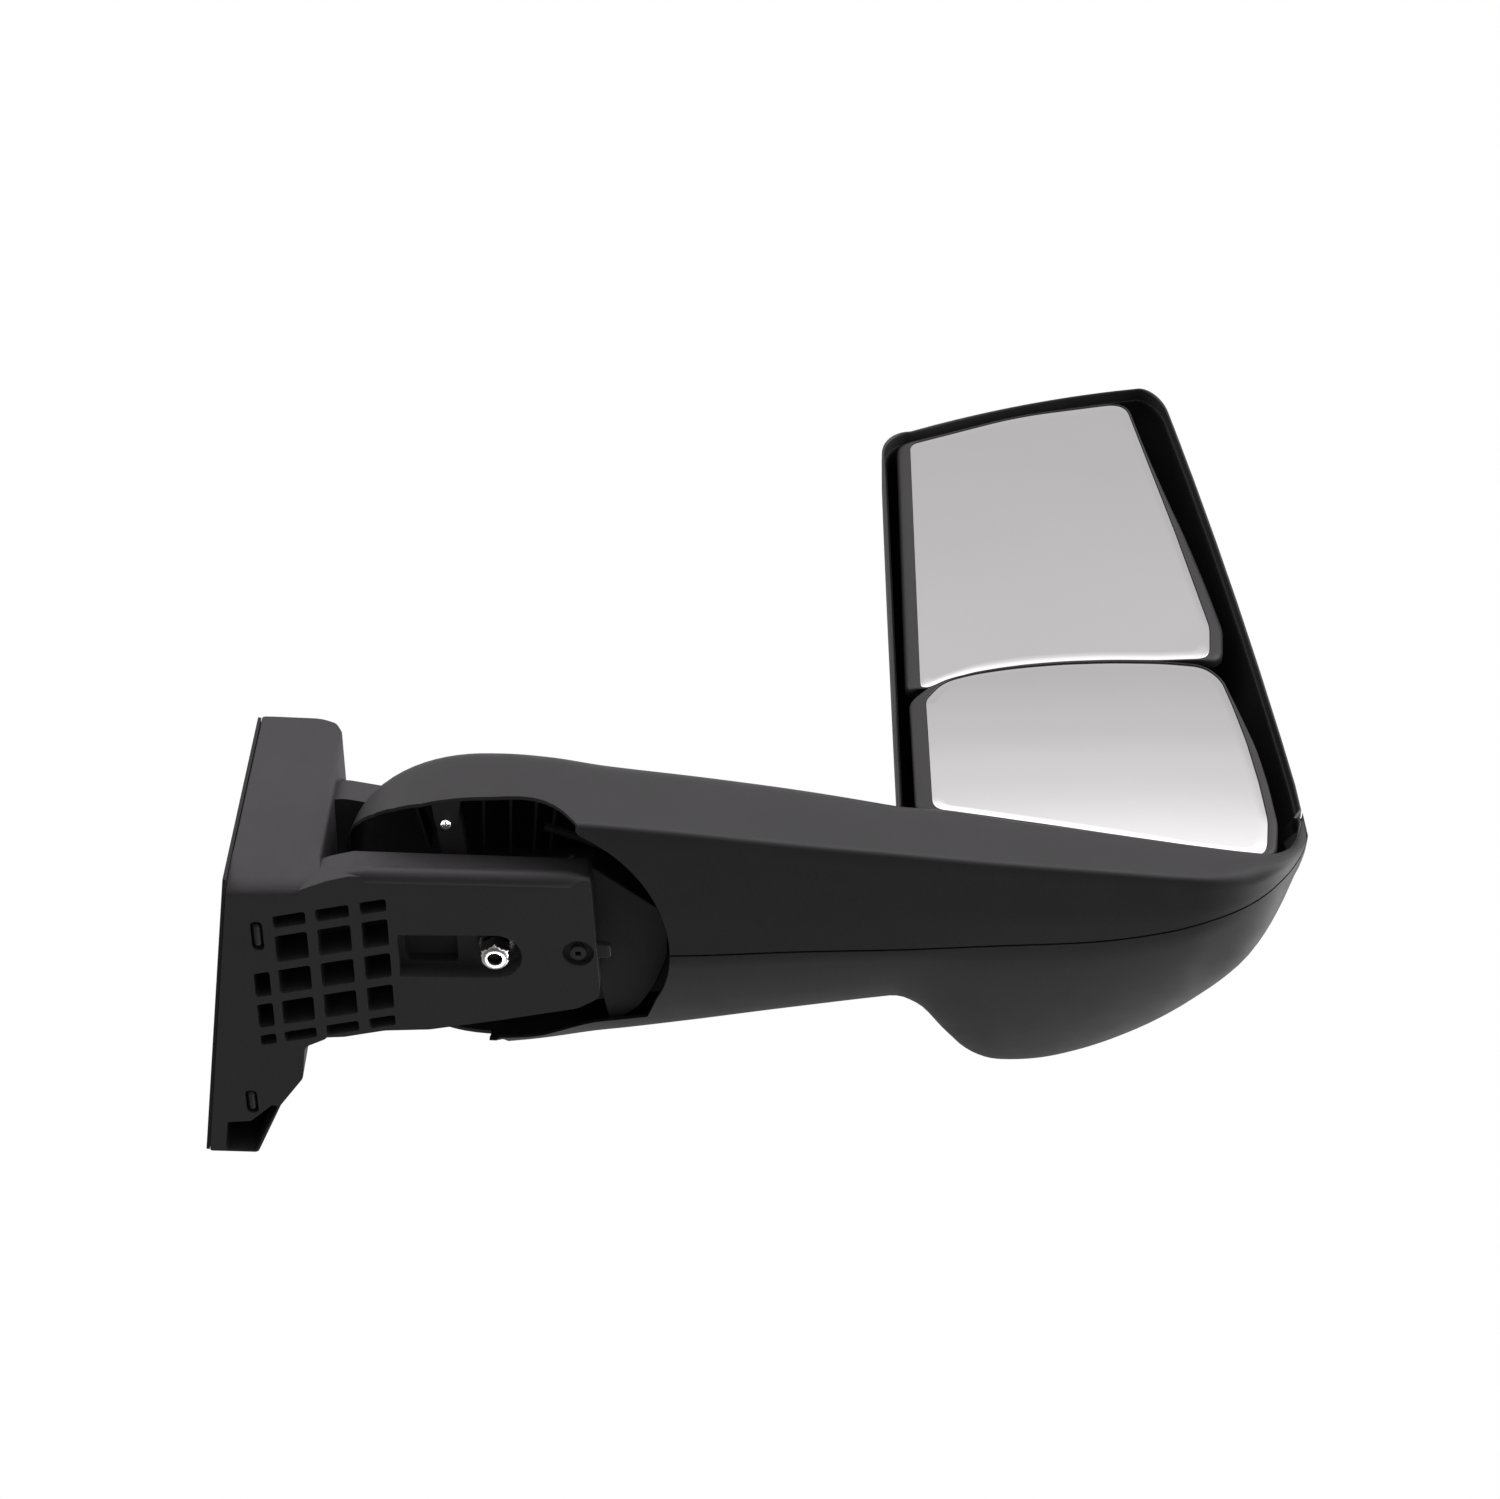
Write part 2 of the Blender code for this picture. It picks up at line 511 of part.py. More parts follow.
# ---------------------------------------------------------------- arm
def arm_section(x, t, open_top):
    """Closed (y, z) section of the arm covers at x, moved inwards by t."""
    if x < PIVOT_X:
        run = PIVOT_X - x
        reach = ROOT_R - t
        rear = -reach * max(1 - (run / reach)**ROOT_FULL, 0.0002)**(1 / ROOT_FULL)
        front = (ROOT_FRONT - t) * math.sqrt(max(1 - (run / reach)**2, 0.002))
    else:
        rear = curve(REAR_Y, x) + t
        front = curve(FRONT_Y, x) - t
    low = curve(BOTTOM_Z, x) + t
    high = curve(TOP_Z, x) - t
    wide = front - rear
    r_rear = min(24 - t, wide * 0.3, (high - low) * 0.45)
    nose = 22 + 22 * min(max((x - 490) / 60, 0), 1) * min(max((790 - x) / 60, 0), 1)
    nose += 20 * min(max((480 - x) / 280, 0), 1)
    r_low = min(nose - t, wide * 0.35, (high - low) * 0.6)
    r_top = min(14 - t, wide * 0.3, (high - low) * 0.3)
    crown = 4 if x < 480 else 0
    front_high = high
    if x > 500:
        front_high = PARTING_Z - GAP
    section = [(rear, low + 2), (rear, (low + high) / 2), (rear, high - r_rear)]
    for k in (1, 2, 3):
        a = math.radians(90 * k / 4)
        section.append((rear + r_rear * (1 - math.cos(a)), high - r_rear * (1 - math.sin(a))))
    section.append((rear + r_rear, high))
    for k in (1, 2, 3):
        s = k / 4
        y = rear + r_rear + (wide - r_rear - r_top) * s
        section.append((y, high + (front_high - high) * s + crown * 4 * s * (1 - s)))
    section.append((front - r_top, front_high))
    for k in (1, 2):
        a = math.radians(30 * k)
        section.append((front - r_top * (1 - math.sin(a)), front_high - r_top * (1 - math.cos(a))))
    section.append((front, front_high - r_top))
    section.append((front, (front_high - r_top + low + r_low) / 2))
    section.append((front, low + r_low))
    for k in (1, 2, 3, 4, 5):
        a = math.radians(15 * k)
        section.append((front - r_low * (1 - math.cos(a)), low + r_low * (1 - math.sin(a))))
    section.append((front - r_low, low))
    for k in (1, 2, 3):
        section.append((front - r_low + (rear + 2 - front + r_low) * k / 4, low))
    section.append((rear + 2, low))
    if open_top:
        # The skin's inside runs out through the top, so the head sits over an open bowl.
        ledge = max(rear + 0.5, RIM_Y - 1)
        section[3] = (rear, high - 1.0)
        section[4] = (rear + (ledge - rear) * 0.5, high - 0.5)
        section[5] = (ledge - 0.2, high)
        section[6] = (ledge, 6)
        for k in (7, 8, 9):
            section[k] = (ledge + (front - ledge) * (k - 6) / 4, 8)
        section[10] = (front - 1, 6)
        section[11] = (front - 0.6, 4)
        section[12] = (front - 0.3, 2)
        section[13] = (front, 0)
    return section


def arm_solid(name, t):
    rings = []
    for x in STATIONS:
        place = x
        if t and x == STATIONS[0]:
            place = x + t
        if t and x == STATIONS[-1]:
            place = x - t
        if t and PIVOT_X - x > ROOT_R - t - 1 and x != STATIONS[0]:
            continue
        rings.append([(place, y, z) for y, z in arm_section(place, t, bool(t) and x >= 505)])
    return loft(name, rings, "grained_plastic" if not t else None)


def build_covers():
    whole = arm_solid("rear_arm_cover", 0.0)
    inside = arm_solid("inside", SKIN)
    opening = [(191, 150), (191, 89)]
    opening += [(x, curve(FRONT_Y, x) - 11) for x in (230, 262, 290, 308)]
    start = math.radians(24)
    round_edge = circle(PIVOT_X, 0, CUTOUT_R, 40, start, -(math.pi + start + math.radians(55)))
    opening += [(x, max(y, -113.0 - 0.02 * (x - PIVOT_X))) for x, y in round_edge]
    opening += [(120, 150)]
    opening = opening[::-1]
    swap_xz = Matrix(((1, 0, 0, 0), (0, 0, 1, 0), (0, 1, 0, 0), (0, 0, 0, 1)))
    rise = [(190, -67), (150, -66), (112, -46), (94, -22), (86, -16), (60, -16)]
    rear_rise = [(60, -130), (261, -130), (260, -100), (257, -92), (252, -84), (246, -77), (239, -72),
                 (231, -68.5), (222, -67)] + rise
    tools = [inside, prism("opening", opening, -120, -67, None),
             prism("rear_rise", rear_rise, -160, 0, None, swap_xz),
             prism("front_rise", [(60, -130), (190, -130)] + rise, -1, 190, None, swap_xz),
             rod("shaft_hole", [(20, -20), (20, 30)], None, at(PIVOT_X, 0))]
    cut(whole, *tools)

    seam = [(x, curve(SEAM_Y, x)) for x in
            (60, 200, 330, 375, 420, 456, 492, 528, 564, 600, 635, 660, 685, 705, 720, 735, 748,
             760, 768, 784, 800)]
    rear_half = [(x, y + GAP / 2) for x, y in seam] + [(800, -180), (60, -180)]
    front_half = [(x, y - GAP / 2) for x, y in seam] + [(800, 200), (60, 200)]
    front = whole.copy()
    front.data = whole.data.copy()
    front.name = "front_arm_cover"
    front.data.materials.clear()
    front.data.materials.append(material("grained_plastic", front.name))
    bpy.context.scene.collection.objects.link(front)
    parts["front_arm_cover"] = front
    clear = loft("clear", bezel_rings(0.4, 1.0), None, closed=True)
    clear_too = loft("clear_too", bezel_rings(0.4, 1.0), None, closed=True)
    cut(front, prism("cut_rear", rear_half, -150, 60, None), clear)
    cut(whole, prism("cut_front", front_half, -150, 60, None), clear_too)
    keep_largest(front)
    keep_largest(whole)

    tab = box("tab", (157, -112.6, -64), (180, -84, -60.5))
    cut(tab, rod("hole", [(2.4, -70), (2.4, -50)], None, at(167, -94), 16))
    join(whole, tab)
    driver = rod("cover_screw", [(3.9, -67.2), (4.1, -66), (4.1, -64.4), (1.9, -64.4), (1.9, -50),
                                 (1.2, -48)], "zinc_steel", at(167, -94), 20)
    cut(driver, box("slot_a", (163.6, -94.5, -68), (170.4, -93.5, -65.6)),
        box("slot_b", (166.5, -97.4, -68), (167.5, -90.6, -65.6)))


def build_core():
    plan = rounded([(158, -42, 30), (200, -46, 30), (256, -46, 8), (270, -46, 6), (319, -12, 8),
                    (400, -24, 60), (500, -28, 40), (560, -20, 20), (684, -14, 8), (684, 34, 8),
                    (560, 44, 40), (470, 36, 40), (395, 46, 60), (330, 60, 40), (262, 72, 20),
                    (200, 66, 40), (156, 46, 30)], 3)
    core = prism("arm_core", plan, HUB_Z[0], CORE_TOP_Z, "cast_black")
    join(core, rod("boss", [(34, HUB_Z[0] + 5), (34, HUB_Z[1])], None, at(PIVOT_X, 0)))
    lug = rounded([(158, -100, 6), (176, -100, 6), (182, -42, 2), (164, -40, 2)], 2)
    join(core, prism("lug", lug, -59, -46, None))
    pockets = [rod("bore", [(HUB_BORE_R, -80), (HUB_BORE_R, 0)], None, at(PIVOT_X, 0)),
               rod("lug_hole", [(2.2, -62), (2.2, -44)], None, at(167, -94), 16)]
    for x0, x1, y0, y1 in ((300, 372, 4, 44), (384, 462, -12, 30), (474, 540, -16, 26)):
        pockets.append(prism("pocket", rounded([(x0, y0, 6), (x1, y0, 6), (x1, y1, 6), (x0, y1, 6)], 3),
                             HUB_Z[0] + 5, 0, None))
    for x, y in FRAME_BOLTS:
        pockets.append(rod("bolt_hole", [(3.4, -50), (3.4, 0)], None, at(x, y), 20))
    cut(core, *pockets)


FRAME_BOLTS = [(580, -8), (580, 28), (664, -4), (664, 24)]


def build_frame():
    z = CORE_TOP_Z + GAP
    plate = [(548, -4), (702, -4), (702, 240), (676, 350), (640, 410), (560, 410), (548, 240)]
    frame = prism("head_frame", rounded([(x, y, 12) for x, y in plate], 3), 70, 74, "frame_metal",
                  facing_glass(0, 0, 0))
    foot = box("foot", (556, -14, z), (686, 34, z + 5))
    join(frame, foot)
    for x in (562, 618, 676):
        rib = [(0, z + 2), (32, z + 2), (30, 40), (-4, 190), (-17, 190), (-3, 60), (4, z + 14)]
        place = Matrix(((0, 0, 1, x), (1, 0, 0, 0), (0, 1, 0, 0), (0, 0, 0, 1)))
        join(frame, prism("rib", rib, 0, 4, None, place))
    holes = [rod("hole", [(3.4, z - 4), (3.4, z + 9)], None, at(x, y), 20) for x, y in FRAME_BOLTS]
    for cx, cz in (MAIN_CENTRE, WIDE_CENTRE):
        h = (cz - HEAD_Z0) / math.cos(HEAD_LEAN)
        for dx in (-30, 30):
            holes.append(rod("screw_hole", [(2.3, 64), (2.3, 80)], None,
                             facing_glass(cx + dx, 0, h + 18), 16))
    cut(frame, *holes)
    for k, (x, y) in enumerate(FRAME_BOLTS):
        top = z + 5 + 0.3
        rod(f"frame_bolt_{k + 1}", [(2.9, top - 24), (2.9, top), (6, top), (6, top + 5),
                                    (5.2, top + 5.6)], "zinc_steel", at(x, y), 20)


# ---------------------------------------------------------------- head
def head_edges(w, t):
    """Rim ends of the head section at w (0 at the parting line, 1 at the top edge)."""
    z_left = PARTING_Z + w * (458 - t - PARTING_Z)
    z_right = PARTING_Z + w * (521 - t - PARTING_Z)
    corner = 20.0
    turn = max(0.0, (w - 0.955) / 0.045)
    take = corner * (1 - math.sqrt(max(0.0, 1 - turn**2)))
    x_left = HEAD_LEFT_X + 2 * w + t + take
    x_right = 787 - 0.07 * z_right - 6e-5 * z_right**2 - t - take
    return x_left, z_left, x_right, z_right


def crowned(z_left, z_right, w, s):
    """Height along a head section: level at the parting line, crowned at the top edge."""
    return z_left + (z_right - z_left) * s + TOP_CROWN * w**4 * 4 * s * (1 - s)


def top_point(s, t):
    x_left, z_left, x_right, z_right = head_edges(1.0, t)
    return x_left + (x_right - x_left) * s, crowned(z_left, z_right, 1.0, s)


def rim_y(z, depth=0.0):
    return RIM_Y - math.tan(HEAD_LEAN) * (z - HEAD_Z0) + depth


HEAD_XS = [492, 492.5, 493.5, 495, 498, 505, 516, 528, 543, 558, 573, 603, 632, 660, 689, 716, 743,
           755, 767, 777, 784, 787]
HEAD_YS = [0.0, 0.25, 0.5, 0.62, 0.68, 0.715, 0.76, 0.835, 0.93, 0.98, 1.0, 0.99, 0.945, 0.872,
           0.772, 0.645, 0.475, 0.37, 0.235, 0.12, 0.04, 0.0]


def head_row(w, t):
    x_left, z_left, x_right, z_right = head_edges(w, t)
    deep = 190 - 92 * w**1.8 - t
    if w > 0.84:
        deep *= max(0.0, 1 - ((w - 0.84) / 0.16)**3)**(1 / 3)
    row = []
    for x, y in zip(HEAD_XS, HEAD_YS):
        s = (x - HEAD_XS[0]) / (HEAD_XS[-1] - HEAD_XS[0])
        z = crowned(z_left, z_right, w, s)
        start = rim_y(z, BEZEL_D + GAP)
        fuller = y ** (1 - 0.5 * w)
        row.append((x_left + (x_right - x_left) * s, start + fuller * max(deep - BEZEL_D, 0.0), z))
    return row


HEAD_ROWS = [0, 0.1, 0.2, 0.3, 0.4, 0.5, 0.6, 0.7, 0.78, 0.84, 0.88, 0.91, 0.94, 0.96, 0.975, 0.985,
             0.993, 1.0]


def build_head():
    outer = [head_row(w, 0.0) for w in HEAD_ROWS]
    inner = [head_row(w, SKIN) for w in HEAD_ROWS]
    rows, columns = len(outer), len(outer[0])
    verts = [p for row in outer for p in row] + [p for row in inner for p in row]
    half = rows * columns
    faces = []
    for i in range(rows - 1):
        for j in range(columns - 1):
            a = i * columns + j
            faces.append((a, a + 1, a + columns + 1, a + columns))
            faces.append((half + a, half + a + columns, half + a + columns + 1, half + a + 1))
    border = [(0, j) for j in range(columns)] + [(i, columns - 1) for i in range(1, rows)]
    border += [(rows - 1, j) for j in range(columns - 2, -1, -1)] + [(i, 0) for i in range(rows - 2, 0, -1)]
    for k in range(len(border)):
        a = border[k][0] * columns + border[k][1]
        b = border[(k + 1) % len(border)][0] * columns + border[(k + 1) % len(border)][1]
        faces.append((b, a, half + a, half + b))
    make("head_housing", verts, faces, "grained_plastic")
    loft("head_bezel", bezel_rings(0.0, 0.0), "grained_plastic", closed=True)


def rim_outline(t):
    """Closed rim outline as (x, z), counter-clockwise seen from behind."""
    rows = [0, 0.15, 0.3, 0.45, 0.6, 0.75, 0.88, 0.955, 0.972, 0.985, 0.994, 1.0]
    left = [head_edges(w, t)[:2] for w in rows]
    right = [head_edges(w, t)[2:] for w in rows]
    low = [(HEAD_LEFT_X + t + 9, -31 + t), (560, -38 + t), (640, -48 + t), (703, -60 + t),
           (750, -71 + t), (768 - t, -74 + t), (780 - t, -69 + t), (787.5 - t, -57 + t),
           (788 - t, -36)]
    top = [top_point(s, t) for s in (0.88, 0.72, 0.5, 0.28, 0.12)]
    return (low + right + top + left[::-1]
            + [(HEAD_LEFT_X + t, -20 + 0.6 * t), (HEAD_LEFT_X + t + 2.5, -27 + 0.9 * t)])


def bezel_rings(grow, reach):
    """Rings of the bezel's cross-section round the rim, for loft(closed=True)."""
    outer, inner = rim_outline(-grow), rim_outline(BEZEL_W + grow)
    front = BEZEL_D + grow
    shapes = []
    for (ox, oz), (ix, iz) in zip(outer, inner):
        mid = (ox + (ix - ox) * 0.5, oz + (iz - oz) * 0.5)
        near = (ox + (ix - ox) * 0.15, oz + (iz - oz) * 0.15)
        far = (ox + (ix - ox) * 0.85, oz + (iz - oz) * 0.85)
        shapes.append([(ox, rim_y(oz, 3.5 - reach - grow), oz), (ox, rim_y(oz, front), oz),
                       (ix, rim_y(iz, front), iz), (ix, rim_y(iz, 3.0 - reach - grow), iz),
                       (far[0], rim_y(far[1], 0.8 - reach - grow), far[1]),
                       (mid[0], rim_y(mid[1], -reach - grow), mid[1]),
                       (near[0], rim_y(near[1], 0.8 - reach - grow), near[1])])
    return shapes


def domed(name, outline, thickness, sag, slot, depth, centre):
    """Plate whose middle stands towards the rear by sag; (x, height) outline."""
    rings_rear, rings_front = [], []
    for k in (1.0, 0.72, 0.4):
        ring = [(centre[0] + (x - centre[0]) * k, centre[1] + (z - centre[1]) * k) for x, z in outline]
        rise = sag * (1 - k**2)
        rings_rear.append([(x, z, -rise) for x, z in ring])
        rings_front.append([(x, z, thickness - rise) for x, z in ring])
    return loft(name, rings_rear[::-1] + rings_front, slot, facing_glass(0, depth, 0))


def in_head(outline):
    """(x, z) in the row frame to (x, height up the leaned glass plane)."""
    return [(x, (z - HEAD_Z0) / math.cos(HEAD_LEAN)) for x, z in outline]


def build_glass(prefix, corners, centre_xz, sag, stand):
    outline = in_head(rounded(corners, 5))
    cx = centre_xz[0]
    ch = (centre_xz[1] - HEAD_Z0) / math.cos(HEAD_LEAN)
    place = facing_glass(0, -stand, 0)
    if sag:
        domed(f"{prefix}_glass", outline, GLASS_T, sag, "mirror_glass", -stand, (cx, ch))
        domed(f"{prefix}_heater_pad", inset(outline, 6), PAD_T, sag, "heater_film",
              GLASS_T + 0.3 - stand, (cx, ch))
    else:
        prism(f"{prefix}_glass", outline, 0, GLASS_T, "mirror_glass", place)
        prism(f"{prefix}_heater_pad", inset(outline, 6), GLASS_T + 0.3, GLASS_T + 0.3 + PAD_T,
              "heater_film", place)
    floor = GLASS_T + 0.3 + PAD_T + 0.3
    back = floor + TRAY_T
    wide = 1 + 2 * TRAY_SIDE / (max(x for x, _ in outline) - min(x for x, _ in outline))
    edge = [(cx + (x - cx) * wide, z) for x, z in inset(outline, -TRAY_LIP)]
    tray = prism(f"{prefix}_glass_carrier", edge, -0.6, back, "inner_plastic", place)
    cut(tray, prism("pocket", inset(outline, -GAP), -5, floor, None, place))
    collar = turned("collar", [(GIMBAL_R + 12, back - 1), (GIMBAL_R + 15, back - 1),
                               (GIMBAL_R + 15, back + 5), (GIMBAL_R + 12, back + 5)], None,
                    facing_glass(cx, -stand, ch))
    lugs = []
    for side in (-1, 1):
        low, high = sorted((side * 12.0, side * 17.0))
        lugs.append(box("lug", (-6, low, back - 1), (6, high, GIMBAL_D + 5), None,
                        facing_glass(cx, -stand, ch)))
        pin = rod("pin", [(2.6, side * 16.0), (2.6, side * (GIMBAL_R - 2.0))][::side], None,
                  head_place(cx, GIMBAL_D - stand, ch), 16)
        lugs.append(pin)
    join(tray, collar, *lugs)
    # The gimbal ring: trunnions along X in the fixed ears, holes along its height for the pins.
    ring = turned(f"{prefix}_gimbal_ring", [(GIMBAL_R - 6, -3.5), (GIMBAL_R, -3.5),
                                            (GIMBAL_R, 3.5), (GIMBAL_R - 6, 3.5)],
                  "white_plastic", facing_glass(cx, GIMBAL_D - stand, ch))
    for side in (-1, 1):
        steps = [(2.6, side * (GIMBAL_R - 3)), (2.6, side * (GIMBAL_R + 8))][::side]
        join(ring, rod("trunnion", steps, None, head_place(cx, GIMBAL_D - stand, ch) @ ACROSS, 16))
    for side in (-1, 1):
        steps = [(3.0, side * (GIMBAL_R - 10)), (3.0, side * (GIMBAL_R + 4))][::side]
        cut(ring, rod("hole", steps, None, head_place(cx, GIMBAL_D - stand, ch), 16))
    return cx, ch, back


def ears(cx, ch, gimbal, depth_back):
    """Two fixed ears with holes for the trunnions, as loose bodies to be joined to a case."""
    bodies = []
    for side in (-1, 1):
        low, high = sorted((side * (GIMBAL_R + 2), side * (GIMBAL_R + 10)))
        ear = box("ear", (low, -6, gimbal - 6), (high, 6, depth_back + 2), None,
                  facing_glass(cx, 0, ch))
        hole = rod("hole", [(3.0, low - 4), (3.0, high + 4)], None,
                   head_place(cx, gimbal, ch) @ ACROSS, 16)
        bodies.append(cut(ear, hole))
    return bodies


JACK_D = (9.5, 46.0)        # rear and front end of a jackscrew at rest
CASE_D = (30.0, 66.0)
WHEEL_D = 44.0


def build_actuator(cx, ch, back):
    """Two motors turn worms; each worm turns a nut wheel that drives a jackscrew."""
    face = facing_glass(cx, 0, ch)
    shape = rounded([(-44, -44, 14), (66, -44, 14), (66, 20, 14), (20, 66, 14), (-44, 66, 14)], 3)
    case = prism("actuator_case", shape, CASE_D[0], CASE_D[1], "inner_plastic", face)
    cut(case, prism("room", inset(shape, 2.5), CASE_D[0] + 3, CASE_D[1] + 5, None, face))
    join(case, *ears(cx, ch, GIMBAL_D, CASE_D[0]))
    jacks = {"tilt": (0, JACK_ARM), "pan": (JACK_ARM, 0)}
    for name, (jx, jh) in jacks.items():
        here = facing_glass(cx + jx, 0, ch + jh)
        cut(case, rod("jack_hole", [(6.4, CASE_D[0] - 3), (6.4, CASE_D[0] + 6)], None, here, 20))
        rod(f"{name}_jackscrew", [(1.6, JACK_D[0]), (3.4, JACK_D[0] + 1.4),
                                  (3.8, JACK_D[0] + 4), (3.4, JACK_D[0] + 6.6),
                                  (2.2, JACK_D[0] + 8), (2.2, JACK_D[0] + 10),
                                  (5.0, JACK_D[0] + 12), (5.0, JACK_D[1])],
            "white_plastic", here, 20)
        turned(f"{name}_nut_wheel", [(5.5, WHEEL_D - 5), (15, WHEEL_D - 5), (15, WHEEL_D + 5),
                                     (5.5, WHEEL_D + 5)], "white_plastic", here, 30)
    lid = prism("actuator_lid", shape, CASE_D[1] + 0.35, CASE_D[1] + 3, "inner_plastic", face)
    for dx in (-30, 30):
        post = rod("post", [(5, CASE_D[1] + 1), (5, 69.6)], None, facing_glass(cx + dx, 0, ch + 18), 16)
        join(lid, post)
        cut(lid, rod("hole", [(2.3, CASE_D[1] - 2), (2.3, 75)], None,
                     facing_glass(cx + dx, 0, ch + 18), 16))
    # Worms lie beside the wheels; each motor is in line with its worm.
    gap_to_worm = 15 + 0.5 + 4.0
    tilt_axis = head_place(cx, WHEEL_D, ch + JACK_ARM - gap_to_worm) @ ACROSS
    pan_axis = head_place(cx + JACK_ARM - gap_to_worm, WHEEL_D, ch)
    for name, axis in (("tilt", tilt_axis), ("pan", pan_axis)):
        rod(f"{name}_worm", [(1.2, -10), (1.2, -8), (4.0, -8), (4.0, 7), (3.4, 8)], "brass", axis, 20)
        motor = rounded([(-7.5, -10, 3), (7.5, -10, 3), (7.5, 10, 3), (-7.5, 10, 3)], 2)
        prism(f"{name}_motor", motor, -37, -10.4, "bright_steel", axis)


def socket_posts(prefix, cx, ch, back):
    """Cups on the back of the carrier that the jackscrew balls push."""
    carrier = parts[f"{prefix}_glass_carrier"]
    for jx, jh in ((0, JACK_ARM), (JACK_ARM, 0)):
        cup = turned("cup", [(6.0, back - 0.5), (8.0, back - 0.5), (8.0, back + 8), (6.0, back + 8)],
                     None, facing_glass(cx + jx, 0, ch + jh), 20)
        join(carrier, cup)


def build_wide_mount(cx, ch):
    shape = rounded([(-40, -30, 10), (40, -30, 10), (40, 34, 10), (-40, 34, 10)], 3)
    mount = prism("wide_mount", shape, 60, 69.6, "inner_plastic", facing_glass(cx, 0, ch))
    join(mount, *ears(cx, ch, GIMBAL_D - WIDE_STAND, 60))
    cut(mount, *[rod("hole", [(2.3, 55), (2.3, 75)], None, facing_glass(cx + dx, 0, ch + 18), 16)
                 for dx in (-30, 30)])


def build_mount_screws():
    for prefix, (cx, cz) in (("actuator", MAIN_CENTRE), ("wide_mount", WIDE_CENTRE)):
        ch = (cz - HEAD_Z0) / math.cos(HEAD_LEAN)
        for k, dx in enumerate((-30, 30)):
            rod(f"{prefix}_screw_{k + 1}", [(1.9, 62.5 if prefix == "wide_mount" else 67.5), (1.9, 74.35),
                                            (4, 74.35), (4, 76.5), (3, 77.2)],
                "zinc_steel", facing_glass(cx + dx, 0, ch + 18), 16)


def build_harness():
    path = [(236, -76, -44), (290, -62, -56), (340, -40, -72), (420, -24, -76), (490, 0, -76),
            (524, 34, -74), (536, 60, -56), (536, 62, -14), (534, 40, 60), (532, 14, 160),
            (532, -12, 240), (541, -34, 300), (549, -45, 314), (557.6, -50.6, 320.2)]
    tube("wire_harness", path, 3.5, "seal_rubber", 8)
    here = facing_glass(MAIN_CENTRE[0] - 54, 0, (MAIN_CENTRE[1] - HEAD_Z0) / math.cos(HEAD_LEAN))
    box("harness_plug", (-7, -9, 44), (9.4, 9, 56), "inner_plastic", here)


# Every moving body: the body it hangs on, and the point in metres its joint's axis goes through.
BODIES = {
    "arm": (None, (0.2, 0.0, -0.04)),
    "main_gimbal": ("arm", (0.622, -0.082999, 0.323986)),
    "main_mirror": ("main_gimbal", (0.622, -0.082999, 0.323986)),
    "tilt_jack": ("arm", (0.622, -0.063153, 0.374336)),
    "tilt_wheel": ("arm", (0.622, -0.063153, 0.374336)),
    "pan_jack": ("arm", (0.67, -0.058136, 0.326599)),
    "pan_wheel": ("arm", (0.67, -0.058136, 0.326599)),
    "wide_gimbal": ("arm", (0.64, -0.058599, 0.053568)),
    "wide_mirror": ("wide_gimbal", (0.64, -0.058599, 0.053568)),
}
# Sub-parts that ride a body other than the arm; "base" stays on the door.
RIDES = {
    "door_bracket": "base", "door_gasket": "base", "threaded_insert_1": "base",
    "threaded_insert_2": "base", "threaded_insert_3": "base", "locating_pin_1": "base",
    "locating_pin_2": "base", "pivot_shaft": "base", "pivot_washer": "base", "pivot_nut": "base",
    "top_washer": "base", "top_nut": "base", "detent_plate": "base", "disc_spring_1": "base",
    "disc_spring_2": "base", "spring_seat": "base", "retaining_clip": "base",
    "main_gimbal_ring": "main_gimbal", "main_glass_carrier": "main_mirror",
    "main_heater_pad": "main_mirror", "main_glass": "main_mirror",
    "tilt_jackscrew": "tilt_jack", "pan_jackscrew": "pan_jack",
    "tilt_nut_wheel": "tilt_wheel", "pan_nut_wheel": "pan_wheel",
    "wide_gimbal_ring": "wide_gimbal", "wide_glass_carrier": "wide_mirror",
    "wide_heater_pad": "wide_mirror", "wide_glass": "wide_mirror",
}


def hang(item, empty, point):
    """Parent an item to an empty standing at a point, leaving the item where it is."""
    item.parent = empty
    item.location = item.location - Vector(point)


def hang_on_joints():
    """One empty on each joint's axis, with the sub-parts of its body under it."""
    empties = {}
    for name, (under, point) in BODIES.items():
        empty = bpy.data.objects.new("joint_" + name, None)
        bpy.context.scene.collection.objects.link(empty)
        empty.location = point
        if under:
            hang(empty, empties[under], BODIES[under][1])
        empties[name] = empty
    pieces = [item for item in bpy.data.objects if item.type == "MESH"]
    for item in pieces:
        body = RIDES.get(item.name, "arm")
        if body != "base":
            hang(item, empties[body], BODIES[body][1])


def smooth_all():
    """Shade round faces smooth and keep the real edges sharp."""
    for item in bpy.data.objects:
        if item.type == "MESH":
            item.data.shade_smooth()
            item.data.set_sharp_from_angle(angle=math.radians(32))


def main():
    clear_scene()
    build_base()
    build_pivot()
    build_covers()
    build_core()
    build_frame()
    build_head()
    cx, ch, back = build_glass("main", MAIN_GLASS, MAIN_CENTRE, 0.0, 0.0)
    socket_posts("main", cx, ch, back)
    build_actuator(cx, ch, back)
    cx, ch, back = build_glass("wide", WIDE_GLASS, WIDE_CENTRE, 7.0, WIDE_STAND)
    build_wide_mount(cx, ch)
    build_mount_screws()
    build_harness()
    smooth_all()
    hang_on_joints()


main()
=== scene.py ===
"""Looks of the lorry door mirror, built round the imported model.

Row frame: +X outboard along the arm, -Y to the rear (the glass looks that way), +Z up.
Lengths are in millimetres and are scaled to metres as each mesh is made.
"""

import json
import math

import bmesh
import bpy
from mathutils import Matrix, Vector


